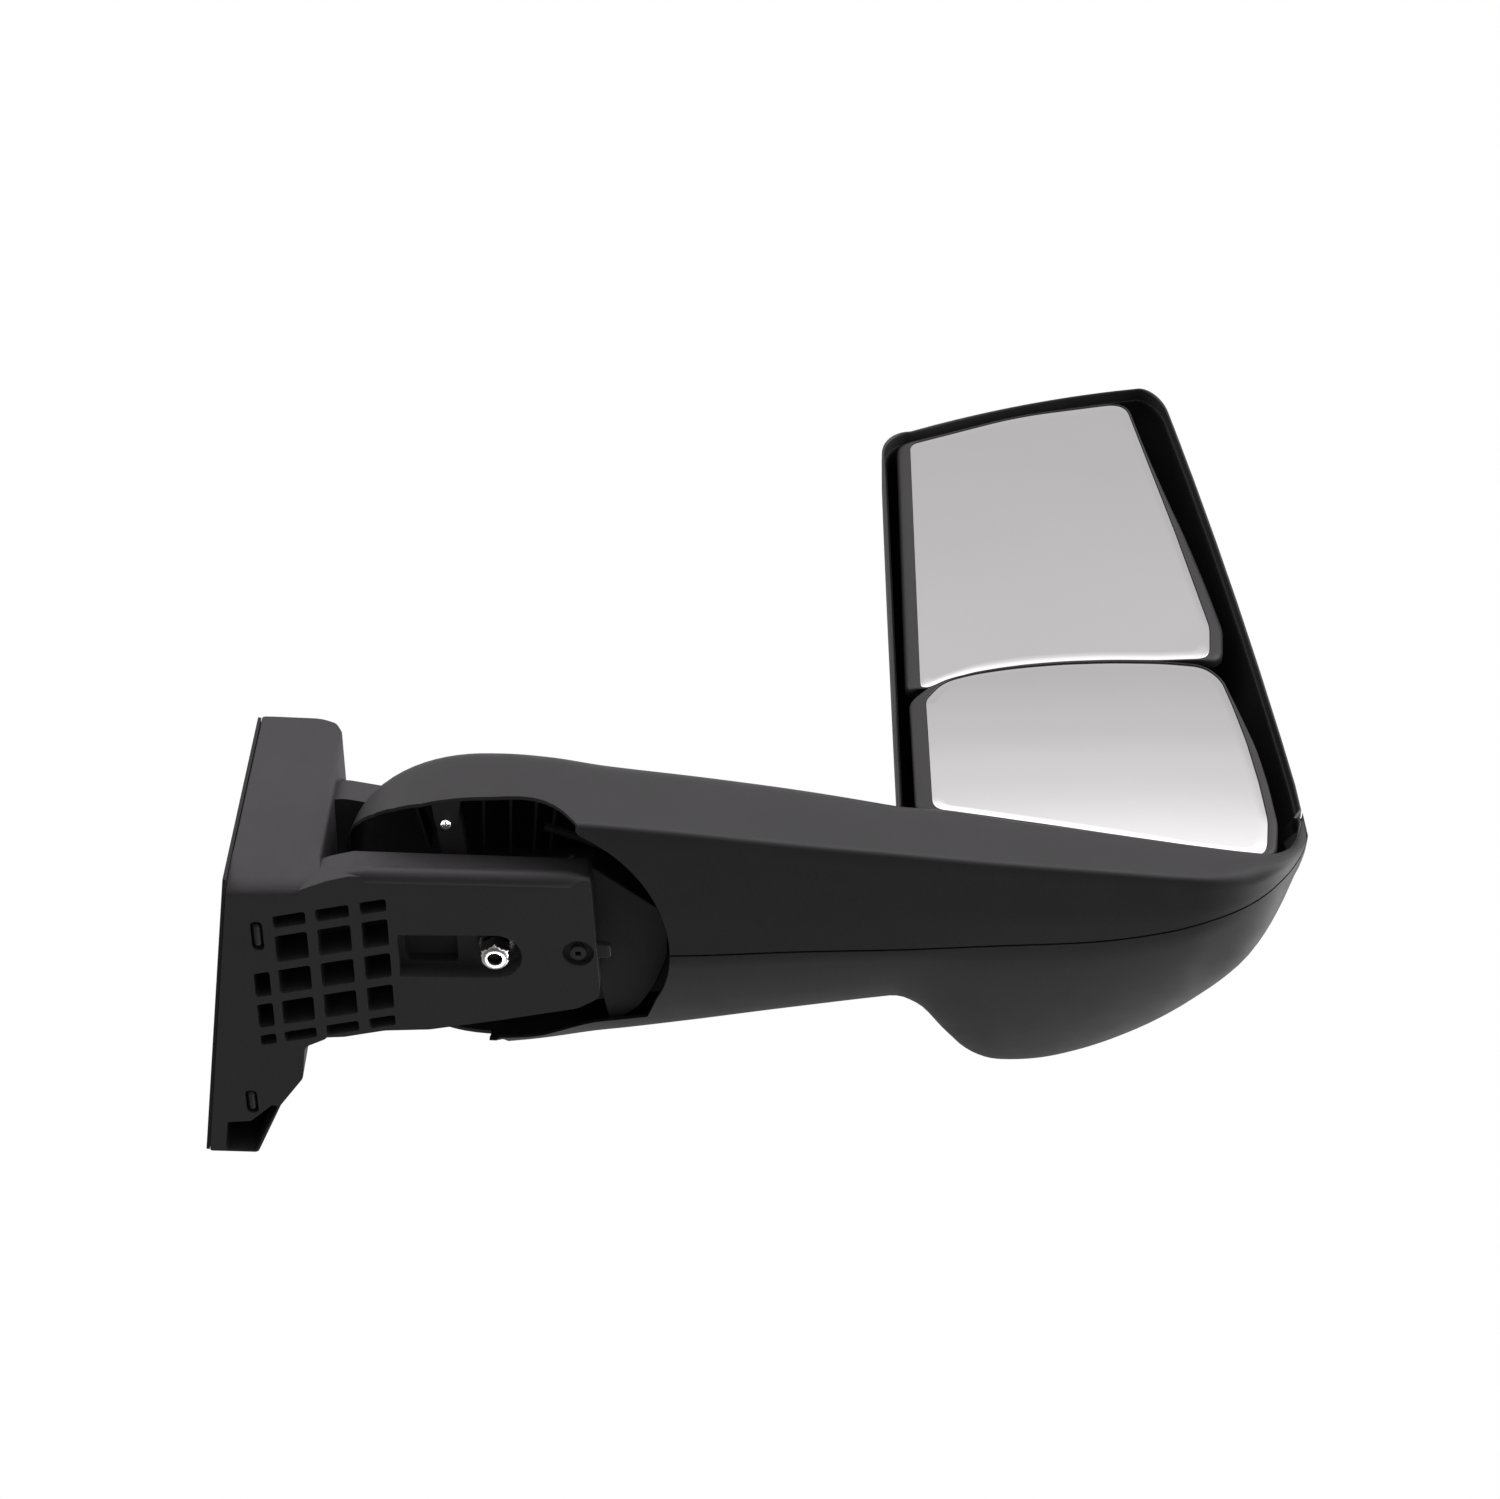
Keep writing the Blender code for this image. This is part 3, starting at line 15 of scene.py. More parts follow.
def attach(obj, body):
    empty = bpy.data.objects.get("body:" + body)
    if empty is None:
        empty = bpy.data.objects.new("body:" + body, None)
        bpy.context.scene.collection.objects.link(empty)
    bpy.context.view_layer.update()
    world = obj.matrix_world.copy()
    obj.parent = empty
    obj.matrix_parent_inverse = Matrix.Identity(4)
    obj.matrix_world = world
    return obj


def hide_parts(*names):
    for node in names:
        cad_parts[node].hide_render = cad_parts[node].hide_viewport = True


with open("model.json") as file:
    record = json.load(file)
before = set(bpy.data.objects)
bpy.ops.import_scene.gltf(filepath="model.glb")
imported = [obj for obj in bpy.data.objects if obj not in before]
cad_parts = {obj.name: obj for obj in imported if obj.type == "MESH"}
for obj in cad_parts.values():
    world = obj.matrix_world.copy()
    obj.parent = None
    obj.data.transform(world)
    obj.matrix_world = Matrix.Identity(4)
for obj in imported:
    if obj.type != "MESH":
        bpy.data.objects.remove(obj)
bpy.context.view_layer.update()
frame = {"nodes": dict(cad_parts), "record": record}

MM = 0.001
WELD = 0.00001              # vertices closer than this, in metres, are one

# -------- driving sizes
UNDERSIDE_Z = -100.0        # underside of the bracket
BLOCK_X = 77.0              # outboard face of the root block
BLOCK_TOP_Z = 105.0
BLOCK_REAR_Y = -69.0
DOOR_YAW = math.radians(8)  # turn of the door face about the vertical
TONGUE_TOP_Z = -70.0
TONGUE_X = 275.0            # free end of the tongue
EAR_Z = (12.0, 36.0)        # ear over the hub, bottom and top
PIVOT_X = 200.0             # fold axis
ROOT_R = 118.0              # rounded root of the arm about the fold axis
ROOT_FULL = 2.3             # exponent that fills out its rear side
ROOT_FRONT = 101.0
CUTOUT_R = 126.0            # opening of the covers round the tongue
SKIN = 3.0                  # wall of covers and head
SEAM_GAP = 1.6              # shadow line between the two arm covers
PARTING_Z = -14.0           # where the head stands on the arm
HEAD_LEAN = math.radians(6)
RIM_Y, GLASS_Y, HEAD_Z0 = -70.0, -67.0, -10.0
HEAD_LEFT_X = 492.0
HEAD_TOP_Z = (458.0, 521.0)       # top corners of the head, inboard and outboard
HEAD_DEEP, HEAD_THINS = 190.0, 92.0     # depth at the foot, and how much of it the top loses
DOME_FROM = 0.84            # share of the head's height where its top starts to round over
TOP_CROWN = 7.5
RIM_W, RIM_D, RIM_NOSE = 2.0, 10.0, 1.6
FOOT_Z = (-11.5, -13.7, -33.0)    # skirt below the head: top, ledge on the cover, low edge
GLASS_T = 2.0
WIDE_STAND = 4.0            # the wide glass stands this far behind the main one
BULGE_REACH = 175.0         # distance from the middle at which a spherical glass is back at its plane
GIMBAL_D, GIMBAL_R = 19.0, 26.0
JACK_ARM = 48.0
MAIN_CENTRE = (622.0, 322.0)
WIDE_CENTRE = (640.0, 52.0)
UNDER_TILT = math.tan(math.radians(12))   # the front cover's underside rises towards the front
SIGHT = Vector((0.0, math.sin(math.radians(55)), -math.cos(math.radians(55))))

# Plan curves of the arm and the front of the head, as (x, value).
REAR_Y = [(200, -118), (240, -119.5), (279, -117), (349, -109), (419, -100), (490, -92),
          (560, -84), (632, -77), (703, -70.5), (760, -69.5), (780, -68), (789, -64)]
FRONT_Y = [(200, 103), (278, 91), (336, 79.5), (395, 67), (453, 55.5), (483, 50), (490, 49.5),
           (497, 52), (512, 65), (528, 89), (543, 108.5), (558, 119), (573, 123), (603, 121),
           (632, 112), (660, 98.5), (689, 79.5), (716, 55.5), (743, 24), (755, 4), (767, -21),
           (777, -44), (786, -58), (789, -62)]
TOP_Z = [(84, -14), (88, -6), (94, 0), (103, 3.5), (112, 4), (200, 4), (240, -3), (279, -10),
         (349, -13), (419, -16.5), (480, -24), (500, -28), (560, -38), (632, -45), (703, -53),
         (740, -60), (760, -62), (771, -57), (778, -49), (783, -35), (785, -27), (787, -17), (789, -9)]
BOTTOM_Z = [(84, -100), (703, -100), (730, -97), (752, -89), (768, -78), (778, -66),
            (785, -52), (789, -38)]
SEAM_Y = [(60, 0), (330, 0), (420, -4), (492, -6), (564, -9), (635, -13), (685, -22),
          (720, -34), (748, -45), (768, -56), (782, -63), (800, -68)]

MAIN_GLASS = [(514, 124, 6), (532, 134.5, 30), (553, 145, 300), (584, 153, 400), (622, 158.5, 400),
              (661, 160.5, 400), (700, 160, 200), (739, 162, 14), (743, 200, 60), (728, 323, 400),
              (703, 503, 16), (611, 483, 300), (518, 443, 12)]
WIDE_GLASS = [(517, -17, 12), (578, -32, 300), (640, -46, 300), (703, -60, 100), (755, -67, 14),
              (760, -30, 60), (758, 10, 300), (754, 55, 300), (748.5, 95, 200), (743, 128, 60),
              (731, 143.5, 24), (700, 146.5, 200), (661, 146.5, 400), (622, 144.5, 400), (584, 140, 400),
              (553, 133.5, 300), (531, 125, 40), (517, 104, 16)]


# -------- materials
class Nodes:
    """Small helper that adds and links shader nodes."""

    def __init__(self, name):
        self.material = bpy.data.materials.new(name)
        self.material.use_nodes = True
        self.tree = self.material.node_tree
        self.link = self.tree.links.new
        self.shader = self.tree.nodes["Principled BSDF"]
        coords = self.tree.nodes.new("ShaderNodeTexCoord")
        self.place = coords.outputs["Object"]

    def noise(self, scale, detail=3.0, stretch=None):
        source = self.place
        if stretch:
            mapping = self.tree.nodes.new("ShaderNodeMapping")
            mapping.inputs["Scale"].default_value = stretch
            self.link(source, mapping.inputs["Vector"])
            source = mapping.outputs["Vector"]
        node = self.tree.nodes.new("ShaderNodeTexNoise")
        node.inputs["Scale"].default_value = scale
        node.inputs["Detail"].default_value = detail
        self.link(source, node.inputs["Vector"])
        return node.outputs["Fac"]

    def cells(self, scale):
        node = self.tree.nodes.new("ShaderNodeTexVoronoi")
        node.inputs["Scale"].default_value = scale
        self.link(self.place, node.inputs["Vector"])
        return node.outputs["Distance"]

    def spread(self, value, low, high, start=0.3, end=0.7):
        node = self.tree.nodes.new("ShaderNodeMapRange")
        node.inputs["From Min"].default_value = start
        node.inputs["From Max"].default_value = end
        node.inputs["To Min"].default_value = low
        node.inputs["To Max"].default_value = high
        self.link(value, node.inputs["Value"])
        return node.outputs["Result"]

    def mix(self, fac, first, second):
        node = self.tree.nodes.new("ShaderNodeMix")
        node.data_type = "RGBA"
        self.link(fac, node.inputs["Factor"])
        colours = [s for s in node.inputs if s.type == "RGBA"]
        colours[0].default_value = (*first, 1)
        colours[1].default_value = (*second, 1)
        return [s for s in node.outputs if s.type == "RGBA"][0]

    def add(self, first, second):
        node = self.tree.nodes.new("ShaderNodeMath")
        node.operation = "ADD"
        self.link(first, node.inputs[0])
        self.link(second, node.inputs[1])
        return node.outputs["Value"]

    def bump(self, height, strength, distance):
        node = self.tree.nodes.new("ShaderNodeBump")
        node.inputs["Strength"].default_value = strength
        node.inputs["Distance"].default_value = distance
        self.link(height, node.inputs["Height"])
        self.link(node.outputs["Normal"], self.shader.inputs["Normal"])

    def drive(self, socket, value):
        self.link(value, self.shader.inputs[socket])

    def fixed(self, **values):
        for name, value in values.items():
            self.shader.inputs[name.replace("_", " ")].default_value = value


def plastic(name, dark, light, rough, grain, depth, specular=0.5):
    """Moulded or coated black surface: fine grain, slightly patchy gloss, faint colour drift."""
    surface = Nodes(name)
    surface.drive("Base Color", surface.mix(surface.noise(18.0, 4.0), dark, light))
    surface.drive("Roughness", surface.spread(surface.noise(45.0, 5.0), rough - 0.05, rough + 0.06))
    surface.bump(surface.add(surface.cells(grain), surface.noise(grain * 0.6, 2.0)), depth, 0.0002)
    surface.fixed(Specular_IOR_Level=specular, Metallic=0.0)
    return surface.material


def metal(name, dark, light, rough, stretch=(1, 1, 14), depth=0.12):
    """Machined or plated metal with fine turning marks."""
    surface = Nodes(name)
    surface.drive("Base Color", surface.mix(surface.noise(60.0, 4.0), dark, light))
    marks = surface.noise(220.0, 3.0, stretch)
    surface.drive("Roughness", surface.spread(marks, rough - 0.06, rough + 0.08))
    surface.bump(marks, depth, 0.0001)
    surface.fixed(Metallic=1.0)
    return surface.material


def mirror(name):
    """Silvered glass, almost clean, with a trace of haze."""
    surface = Nodes(name)
    surface.drive("Base Color", surface.mix(surface.noise(9.0, 3.0), (0.86, 0.85, 0.855), (0.9, 0.89, 0.89)))
    surface.drive("Roughness", surface.spread(surface.noise(30.0, 6.0), 0.02, 0.045))
    surface.fixed(Metallic=1.0)
    return surface.material


def heater(name):
    """Thin film heater with darker printed tracks."""
    surface = Nodes(name)
    wave = surface.tree.nodes.new("ShaderNodeTexWave")
    wave.inputs["Scale"].default_value = 45.0
    wave.inputs["Distortion"].default_value = 1.5
    surface.link(surface.place, wave.inputs["Vector"])
    surface.drive("Base Color", surface.mix(wave.outputs["Fac"], (0.34, 0.12, 0.04), (0.12, 0.05, 0.03)))
    surface.drive("Roughness", surface.spread(surface.noise(80.0), 0.35, 0.5))
    return surface.material


MATERIALS = {
    "grained_plastic": plastic("grained_plastic_look", (0.040, 0.038, 0.0405), (0.048, 0.0455, 0.0485),
                               0.42, 1500.0, 0.22),
    "cast_black": plastic("cast_black_look", (0.052, 0.049, 0.052), (0.064, 0.0605, 0.0645),
                          0.52, 1100.0, 0.3),
    "inner_plastic": plastic("inner_plastic_look", (0.035, 0.034, 0.035), (0.043, 0.042, 0.043),
                             0.4, 1300.0, 0.12),
    # painted shade: near-black colour for the shaded hollow inside the head and for its foot
    "painted_shade_liner": plastic("painted_shade_liner_look", (0.006, 0.006, 0.006), (0.009, 0.009, 0.009), 0.75, 900.0, 0.3, 0.2),
    "mirror_glass": mirror("mirror_glass_look"),
    "zinc_steel": metal("zinc_steel_look", (0.72, 0.71, 0.69), (0.86, 0.85, 0.83), 0.22),
    "bright_steel": metal("bright_steel_look", (0.5, 0.5, 0.5), (0.63, 0.63, 0.62), 0.28),
    "dark_steel": metal("dark_steel_look", (0.05, 0.05, 0.052), (0.09, 0.09, 0.092), 0.42),
    "bronze": metal("bronze_look", (0.42, 0.27, 0.11), (0.55, 0.37, 0.17), 0.4),
    "brass": metal("brass_look", (0.6, 0.42, 0.16), (0.72, 0.54, 0.25), 0.3),
    "frame_metal": metal("frame_metal_look", (0.3, 0.3, 0.31), (0.42, 0.42, 0.43), 0.45, (3, 3, 3), 0.3),
    "white_plastic": plastic("white_plastic_look", (0.66, 0.65, 0.61), (0.74, 0.73, 0.69), 0.4,
                             1400.0, 0.08),
    "seal_rubber": plastic("seal_rubber_look", (0.035, 0.034, 0.035), (0.045, 0.044, 0.045), 0.72,
                           1200.0, 0.25, 0.3),
    "heater_film": heater("heater_film_look"),
}


# -------- mesh helpers
def curve(table, x):
    """Smooth reading of an (x, value) table."""
    if x <= table[0][0]:
        return table[0][1]
    for i in range(len(table) - 1):
        x0, v0 = table[i]
        x1, v1 = table[i + 1]
        if x <= x1:
            before = table[i - 1] if i > 0 else table[i]
            after = table[i + 2] if i + 2 < len(table) else table[i + 1]
            s0 = (v1 - before[1]) / (x1 - before[0])
            s1 = (after[1] - v0) / (after[0] - x0)
            span = x1 - x0
            t = (x - x0) / span
            return ((2 * t**3 - 3 * t**2 + 1) * v0 + (t**3 - 2 * t**2 + t) * span * s0
                    + (-2 * t**3 + 3 * t**2) * v1 + (t**3 - t**2) * span * s1)
    return table[-1][1]


def ease(t):
    t = min(max(t, 0.0), 1.0)
    return t * t * (3 - 2 * t)


def to_scene(item):
    bpy.context.scene.collection.objects.link(item)


def make(name, verts, faces, place=None):
    """One closed body from vertices in millimetres."""
    mesh = bpy.data.meshes.new(name)
    points = [Vector(v) for v in verts]
    if place is not None:
        points = [place @ p for p in points]
    mesh.from_pydata([p * MM for p in points], [], faces)
    body = bmesh.new()
    body.from_mesh(mesh)
    bmesh.ops.remove_doubles(body, verts=body.verts, dist=WELD)
    bmesh.ops.recalc_face_normals(body, faces=body.faces)
    body.to_mesh(mesh)
    body.free()
    item = bpy.data.objects.new(name, mesh)
    to_scene(item)
    return item


def loft(name, rings, place=None, closed=False):
    """Skin through rings of equal length; closed joins the last ring to the first."""
    count = len(rings[0])
    verts = [p for ring in rings for p in ring]
    faces = []
    for k in range(len(rings) if closed else len(rings) - 1):
        a, b = k * count, ((k + 1) % len(rings)) * count
        for i in range(count):
            j = (i + 1) % count
            faces.append((a + i, a + j, b + j, b + i))
    if not closed:
        faces.append(tuple(range(count))[::-1])
        faces.append(tuple(range(len(verts) - count, len(verts))))
    return make(name, verts, faces, place)


def prism(name, outline, low, high, place=None):
    return loft(name, [[(x, y, low) for x, y in outline], [(x, y, high) for x, y in outline]], place)


def box(name, low, high, place=None):
    (x0, y0, z0), (x1, y1, z1) = low, high
    return prism(name, [(x0, y0), (x1, y0), (x1, y1), (x0, y1)], z0, z1, place)


def turned(name, profile, place=None, sides=64):
    """Ring turned about Z from a closed (radius, height) profile that is off the axis."""
    rings = []
    for k in range(sides):
        a = 2 * math.pi * k / sides
        rings.append([(r * math.cos(a), r * math.sin(a), z) for r, z in profile])
    return loft(name, rings, place, closed=True)


def rod(name, steps, place=None, sides=48):
    """Solid turned about Z from (radius, height) steps, bottom to top."""
    rings = []
    for r, z in steps:
        rings.append([(r * math.cos(2 * math.pi * k / sides), r * math.sin(2 * math.pi * k / sides), z)
                      for k in range(sides)])
    return loft(name, rings, place)


def combine(target, others, operation):
    """Boolean of whole bodies, applied at once; the cutters are removed."""
    for other in others:
        step = target.modifiers.new("step", "BOOLEAN")
        step.solver = "EXACT"
        step.operation = operation
        step.object = other
        graph = bpy.context.evaluated_depsgraph_get()
        mesh = bpy.data.meshes.new_from_object(target.evaluated_get(graph))
        target.modifiers.clear()
        old = target.data
        target.data = mesh
        bpy.data.meshes.remove(old)
        bpy.data.objects.remove(other, do_unlink=True)
    body = bmesh.new()
    body.from_mesh(target.data)
    bmesh.ops.remove_doubles(body, verts=body.verts, dist=WELD)
    bmesh.ops.dissolve_degenerate(body, edges=body.edges, dist=WELD)
    body.to_mesh(target.data)
    body.free()
    return target


def join(target, *others):
    return combine(target, others, "UNION")


def cut(target, *others):
    return combine(target, others, "DIFFERENCE")


def keep_largest(item):
    """Drop the loose slivers that a cut leaves behind."""
    body = bmesh.new()
    body.from_mesh(item.data)
    left = set(body.verts)
    islands = []
    while left:
        island, queue = set(), [left.pop()]
        while queue:
            vert = queue.pop()
            island.add(vert)
            for edge in vert.link_edges:
                other = edge.other_vert(vert)
                if other in left:
                    left.discard(other)
                    queue.append(other)
        islands.append(island)
    islands.sort(key=len)
    for island in islands[:-1]:
        bmesh.ops.delete(body, geom=list(island), context="VERTS")
    body.to_mesh(item.data)
    body.free()


def rounded(points, steps=8):
    """Outline with each (x, y, radius) corner rounded, as far as its sides allow."""
    outline = []
    count = len(points)
    for i in range(count):
        corner = Vector(points[i][:2])
        radius = points[i][2]
        to_a = Vector(points[i - 1][:2]) - corner
        to_b = Vector(points[(i + 1) % count][:2]) - corner
        half = to_a.angle(to_b) / 2
        reach = min(radius / math.tan(half), to_a.length * 0.48, to_b.length * 0.48)
        start = corner + to_a.normalized() * reach
        end = corner + to_b.normalized() * reach
        for k in range(steps + 1):
            t = k / steps
            outline.append(tuple((1 - t)**2 * start + 2 * t * (1 - t) * corner + t**2 * end))
    return outline


def evenly(outline, spacing):
    """Outline with long sides divided, so that a bent or lofted skin stays smooth."""
    points = []
    for i, p in enumerate(outline):
        a, b = Vector(p), Vector(outline[(i + 1) % len(outline)])
        parts = max(1, round((b - a).length / spacing))
        points += [tuple(a.lerp(b, k / parts)) for k in range(parts)]
    return points


def inset(outline, amount):
    """Counter-clockwise outline moved inwards by amount (outwards if negative)."""
    moved = []
    count = len(outline)
    for i in range(count):
        p = Vector(outline[i])
        a = (p - Vector(outline[i - 1])).normalized()
        b = (Vector(outline[(i + 1) % count]) - p).normalized()
        normal = Vector((-(a.y + b.y), a.x + b.x)).normalized()
        scale = amount / max(0.5, normal.dot(Vector((-a.y, a.x))))
        moved.append(tuple(p + normal * scale))
    return moved


def circle(cx, cy, r, sides=64, start=0.0, sweep=2 * math.pi):
    whole = abs(sweep - 2 * math.pi) < 1e-6
    return [(cx + r * math.cos(start + sweep * k / (sides if whole else sides - 1)),
             cy + r * math.sin(start + sweep * k / (sides if whole else sides - 1)))
            for k in range(sides)]


def at(x, y, z=0.0):
    return Matrix.Translation((x, y, z))


SWAP_XZ = Matrix(((1, 0, 0, 0), (0, 0, 1, 0), (0, 1, 0, 0), (0, 0, 0, 1)))    # outline is (x, z)
SIDE_YZ = Matrix(((0, 0, 1, 0), (1, 0, 0, 0), (0, 1, 0, 0), (0, 0, 0, 1)))    # outline is (y, z)


def head_place(x=0.0, depth=0.0, height=0.0):
    """Head frame: X, then depth from the glass face towards the front, then height."""
    lean = Matrix.Rotation(HEAD_LEAN, 4, "X")
    return Matrix.Translation((0, GLASS_Y, HEAD_Z0)) @ lean @ Matrix.Translation((x, depth, height))


def facing_glass(x, depth, height):
    """Place for an outline drawn as (x, z) and thickened towards the front of the head."""
    return head_place(x, depth, height) @ SWAP_XZ


def dress(piece, body, slot, nodes=(), look=None, bevel=0.0, angle=32.0, segments=2, flat_faces=False):
    """Give a finished piece the material of its look or slot, soft edges, shading and its body, and hide the
    nodes it replaces.
    """
    piece.data.materials.clear()
    piece.data.materials.append(MATERIALS[look or slot])
    if bevel:
        step = piece.modifiers.new("soft_edges", "BEVEL")
        step.width = bevel * MM
        step.segments = segments
        step.limit_method = "ANGLE"
        step.angle_limit = math.radians(angle)
        step.use_clamp_overlap = True
    smooth(piece, angle)
    if flat_faces:
        step = piece.modifiers.new("even_shading", "WEIGHTED_NORMAL")
        step.keep_sharp = True
    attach(piece, body)
    if nodes:
        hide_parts(*nodes)
    return piece


def smooth(piece, angle=32.0):
    """Smooth shading with the edges sharper than angle kept."""
    piece.data.shade_smooth()
    piece.data.set_sharp_from_angle(angle=math.radians(angle))


# -------- door bracket
def contact_line(x_out):
    """Plan line parallel to the door face, x_out in front of it, as two end points."""
    c, s = math.cos(DOOR_YAW), math.sin(DOOR_YAW)
    return [(x_out * c - s * t, x_out * s + c * t) for t in (-71.0, 188.0)]


def door_place(along, height):
    """Z of the local frame points outboard from the door face."""
    c, s = math.cos(DOOR_YAW), math.sin(DOOR_YAW)
    return Matrix(((0, -s, c, -s * along), (0, c, s, c * along), (1, 0, 0, height), (0, 0, 0, 1)))


INSERTS = [(-44, 72), (-44, -52), (118, -62)]   # along the door face, height


def lattice():
    """Rows of square pockets under the block and neck; the rows slant back outboard."""
    slope = math.tan(math.radians(-11.2))
    every = (0, 1, 2, 3, 4)
    columns = [(24, 36, (2, 3, 4)), (42, 66, every), (73, 97.5, every), (105, 124.5, every)]
    rows = [(-39, -28), (-21, 3), (10, 32), (39, 61), (68, 77.5)]
    pockets = []
    for x0, x1, which in columns:
        for k in which:
            y0, y1 = rows[k]
            corners = [(x0, y0 + slope * (x0 - 54), 2.2), (x1, y0 + slope * (x1 - 54), 2.2),
                       (x1, y1 + slope * (x1 - 54), 2.2), (x0, y1 + slope * (x0 - 54), 2.2)]
            outline = rounded(corners, 4)
            depth = 25 if x0 > 70 else 90
            rings = [[(x, y, UNDERSIDE_Z - 5) for x, y in inset(outline, -0.4)],
                     [(x, y, UNDERSIDE_Z) for x, y in outline],
                     [(x, y, UNDERSIDE_Z + depth) for x, y in inset(outline, 1.0)]]
            pockets.append(loft("pocket", rings))
    return pockets


def build_bracket():
    """Casting with block, flange, tongue, bead, ear and webs, and all its pockets and holes."""
    rear, front = contact_line(2.85)
    plate = rounded([(*rear, 3), (BLOCK_X, BLOCK_REAR_Y, 5), (BLOCK_X - 0.5, -40, 20),
                     (BLOCK_X - 2.5, 20, 20), (BLOCK_X - 2.5, 76, 8), (56, 85, 8), (52.5, 115, 12),
                     (34, 141, 12), (13, 188, 4), (*front, 2)], 6)
    bracket = prism("door_bracket_casting", plate, UNDERSIDE_Z, BLOCK_TOP_Z)
    top = rounded([(-60, 240, 1), (-60, 107.6, 1), (12, 105.5, 6), (58, 103, 30), (70, 97, 10),
                   (75.5, 86, 8), (78, 60, 3), (150, 60, 1), (150, 240, 1)], 6)
    side = rounded([(62, 240, 1), (62, 120, 30), (84, 60, 50), (128, -18, 40), (240, -52, 1),
                    (240, 240, 1)], 8)
    under = [(-90, -115), (-90, -40), (-70.3, -40)]
    for k in range(1, 13):
        a = math.radians(90) * k / 12
        under.append((-70.3 + 15 * (1 - math.cos(a)), -40 - 60 * math.sin(a)))
    under.append((-55.3, -115))
    cut(bracket, prism("top_slice", top, -90, 220, SWAP_XZ),
        prism("flange_slice", side, -60, 120, SIDE_YZ),
        prism("turn_under", under, -60, 84, SIDE_YZ))

    tongue = rounded([(66, 76, 1), (86, 75, 10), (116, 69, 30), (149, 68, 30), (201, 59, 60),
                      (258, 48, 24), (TONGUE_X, 38, 12), (270.5, -66, 4), (100, -73, 3),
                      (84, -69, 14), (62, -60, 6)][::-1], 6)
    join(bracket, prism("tongue", tongue, UNDERSIDE_Z, TONGUE_TOP_Z))
    rings = []
    for k in range(25):
        t = k / 24
        s = 0.35 + 0.65 * min(1.0, 14 * t, 14 * (1 - t))
        x, y = 98 + 172 * t, -71.0 + 5.2 * t
        rings.append([(x, y + 6.5 * s * math.cos(a), UNDERSIDE_Z + 5.3 + 6.5 * s * math.sin(a))
                      for a in (2 * math.pi * i / 24 for i in range(24))])
    join(bracket, loft("bead", rings))

    ear = rounded([(66, -58, 2), (84, -60, 30), (150, -46, 60), (205, -44, 45), (242, -32, 30),
                   (246, 0, 40), (242, 32, 30), (205, 44, 45), (150, 46, 60), (84, 60, 30),
                   (66, 62, 2)], 6)
    join(bracket, prism("ear", ear, EAR_Z[0], EAR_Z[1]))
    for y in (-46, 40):
        web = rounded([(70, EAR_Z[1] - 2, 1), (70, 62, 1), (84, 52, 14), (130, EAR_Z[1] + 2, 20),
                       (130, EAR_Z[1] - 2, 1)][::-1], 5)
        join(bracket, prism("web", web, y, y + 6, SWAP_XZ))

    slot = [(130, -20), (PIVOT_X, -19.5)]
    slot += circle(PIVOT_X, 0, 19.5, 28, -math.pi / 2 + 0.05, math.pi - 0.1)
    slot += [(PIVOT_X, 19.5), (130, 18)]
    pockets = [prism("slot", slot, UNDERSIDE_Z - 5, UNDERSIDE_Z + 14)]
    deep = rounded([(134, -16, 4), (172, -16, 4), (172, 15, 4), (134, 14, 4)], 4)
    pockets.append(prism("slot_deep", deep, UNDERSIDE_Z - 5, UNDERSIDE_Z + 22))
    pockets.append(turned("boss_moat", [(5.6, -5), (11.5, -5), (11.5, 5), (5.6, 5)],
                          at(260, -3, UNDERSIDE_Z)))
    pockets.append(box("boss_square", (258, -5, UNDERSIDE_Z - 5), (262, -1, UNDERSIDE_Z + 9)))
    pockets += lattice()
    flange = rounded([(-8, 158, 3), (10, 157, 4), (27.5, 141, 3), (31.8, 142.5, 2), (11.6, 186.6, 2),
                      (-11.6, 186.6, 2)], 4)
    pockets.append(prism("flange_pocket", flange, UNDERSIDE_Z - 5, UNDERSIDE_Z + 46))
    for x0, x1, y0, y1 in ((25.5, 34.5, -32, -6), (8, 17, 127, 149)):
        trough = rounded([(x0, y0, 4), (x1, y0, 4), (x1, y1, 4), (x0, y1, 4)], 5)
        pockets.append(prism("pin_trough", trough, UNDERSIDE_Z - 5, UNDERSIDE_Z + 7))
    pockets += [rod("shaft_hole", [(8.0, UNDERSIDE_Z), (8.0, TONGUE_TOP_Z + 5)], at(PIVOT_X, 0)),
                rod("ear_hole", [(8.0, EAR_Z[0] - 5), (8.0, EAR_Z[1] + 5)], at(PIVOT_X, 0)),
                rod("ear_recess", [(17, EAR_Z[1] - 4), (17, EAR_Z[1] + 5)], at(PIVOT_X, 0))]
    for along, height in INSERTS:
        pockets.append(rod("insert_hole", [(6.05, -1), (6.05, 22)], door_place(along, height)))
    cut(bracket, *pockets)
    dress(bracket, "base", "cast_black", ["door_bracket"], bevel=1.1, segments=3, flat_faces=True)


def build_tongue_tab():
    """Small stop that stands out from the tongue's free end."""
    outline = rounded([(270, -5, 1), (283, -4, 2.5), (283.5, 6, 2.5), (270, 7, 1)], 4)
    dress(prism("tongue_tab", outline, -93, -87), "base", "cast_black", bevel=0.8)


def build_pins():
    """Round-ended locating pegs lying in their troughs under the block."""
    lying = Matrix.Rotation(math.radians(-90), 4, "X")
    for node, x, y, half in (("locating_pin_1", 30, -18.5, 10), ("locating_pin_2", 12.5, 138, 9)):
        steps = [(2.8 * math.sin(math.radians(a)), -half + 2.8 * (1 - math.cos(math.radians(a))))
                 for a in (12, 30, 50, 70, 90)]
        steps += [(r, -z) for r, z in steps[::-1]]
        peg = rod(node + "_peg", steps, at(x, y, UNDERSIDE_Z + 3.2) @ lying)
        dress(peg, "base", "zinc_steel", [node], look="cast_black")


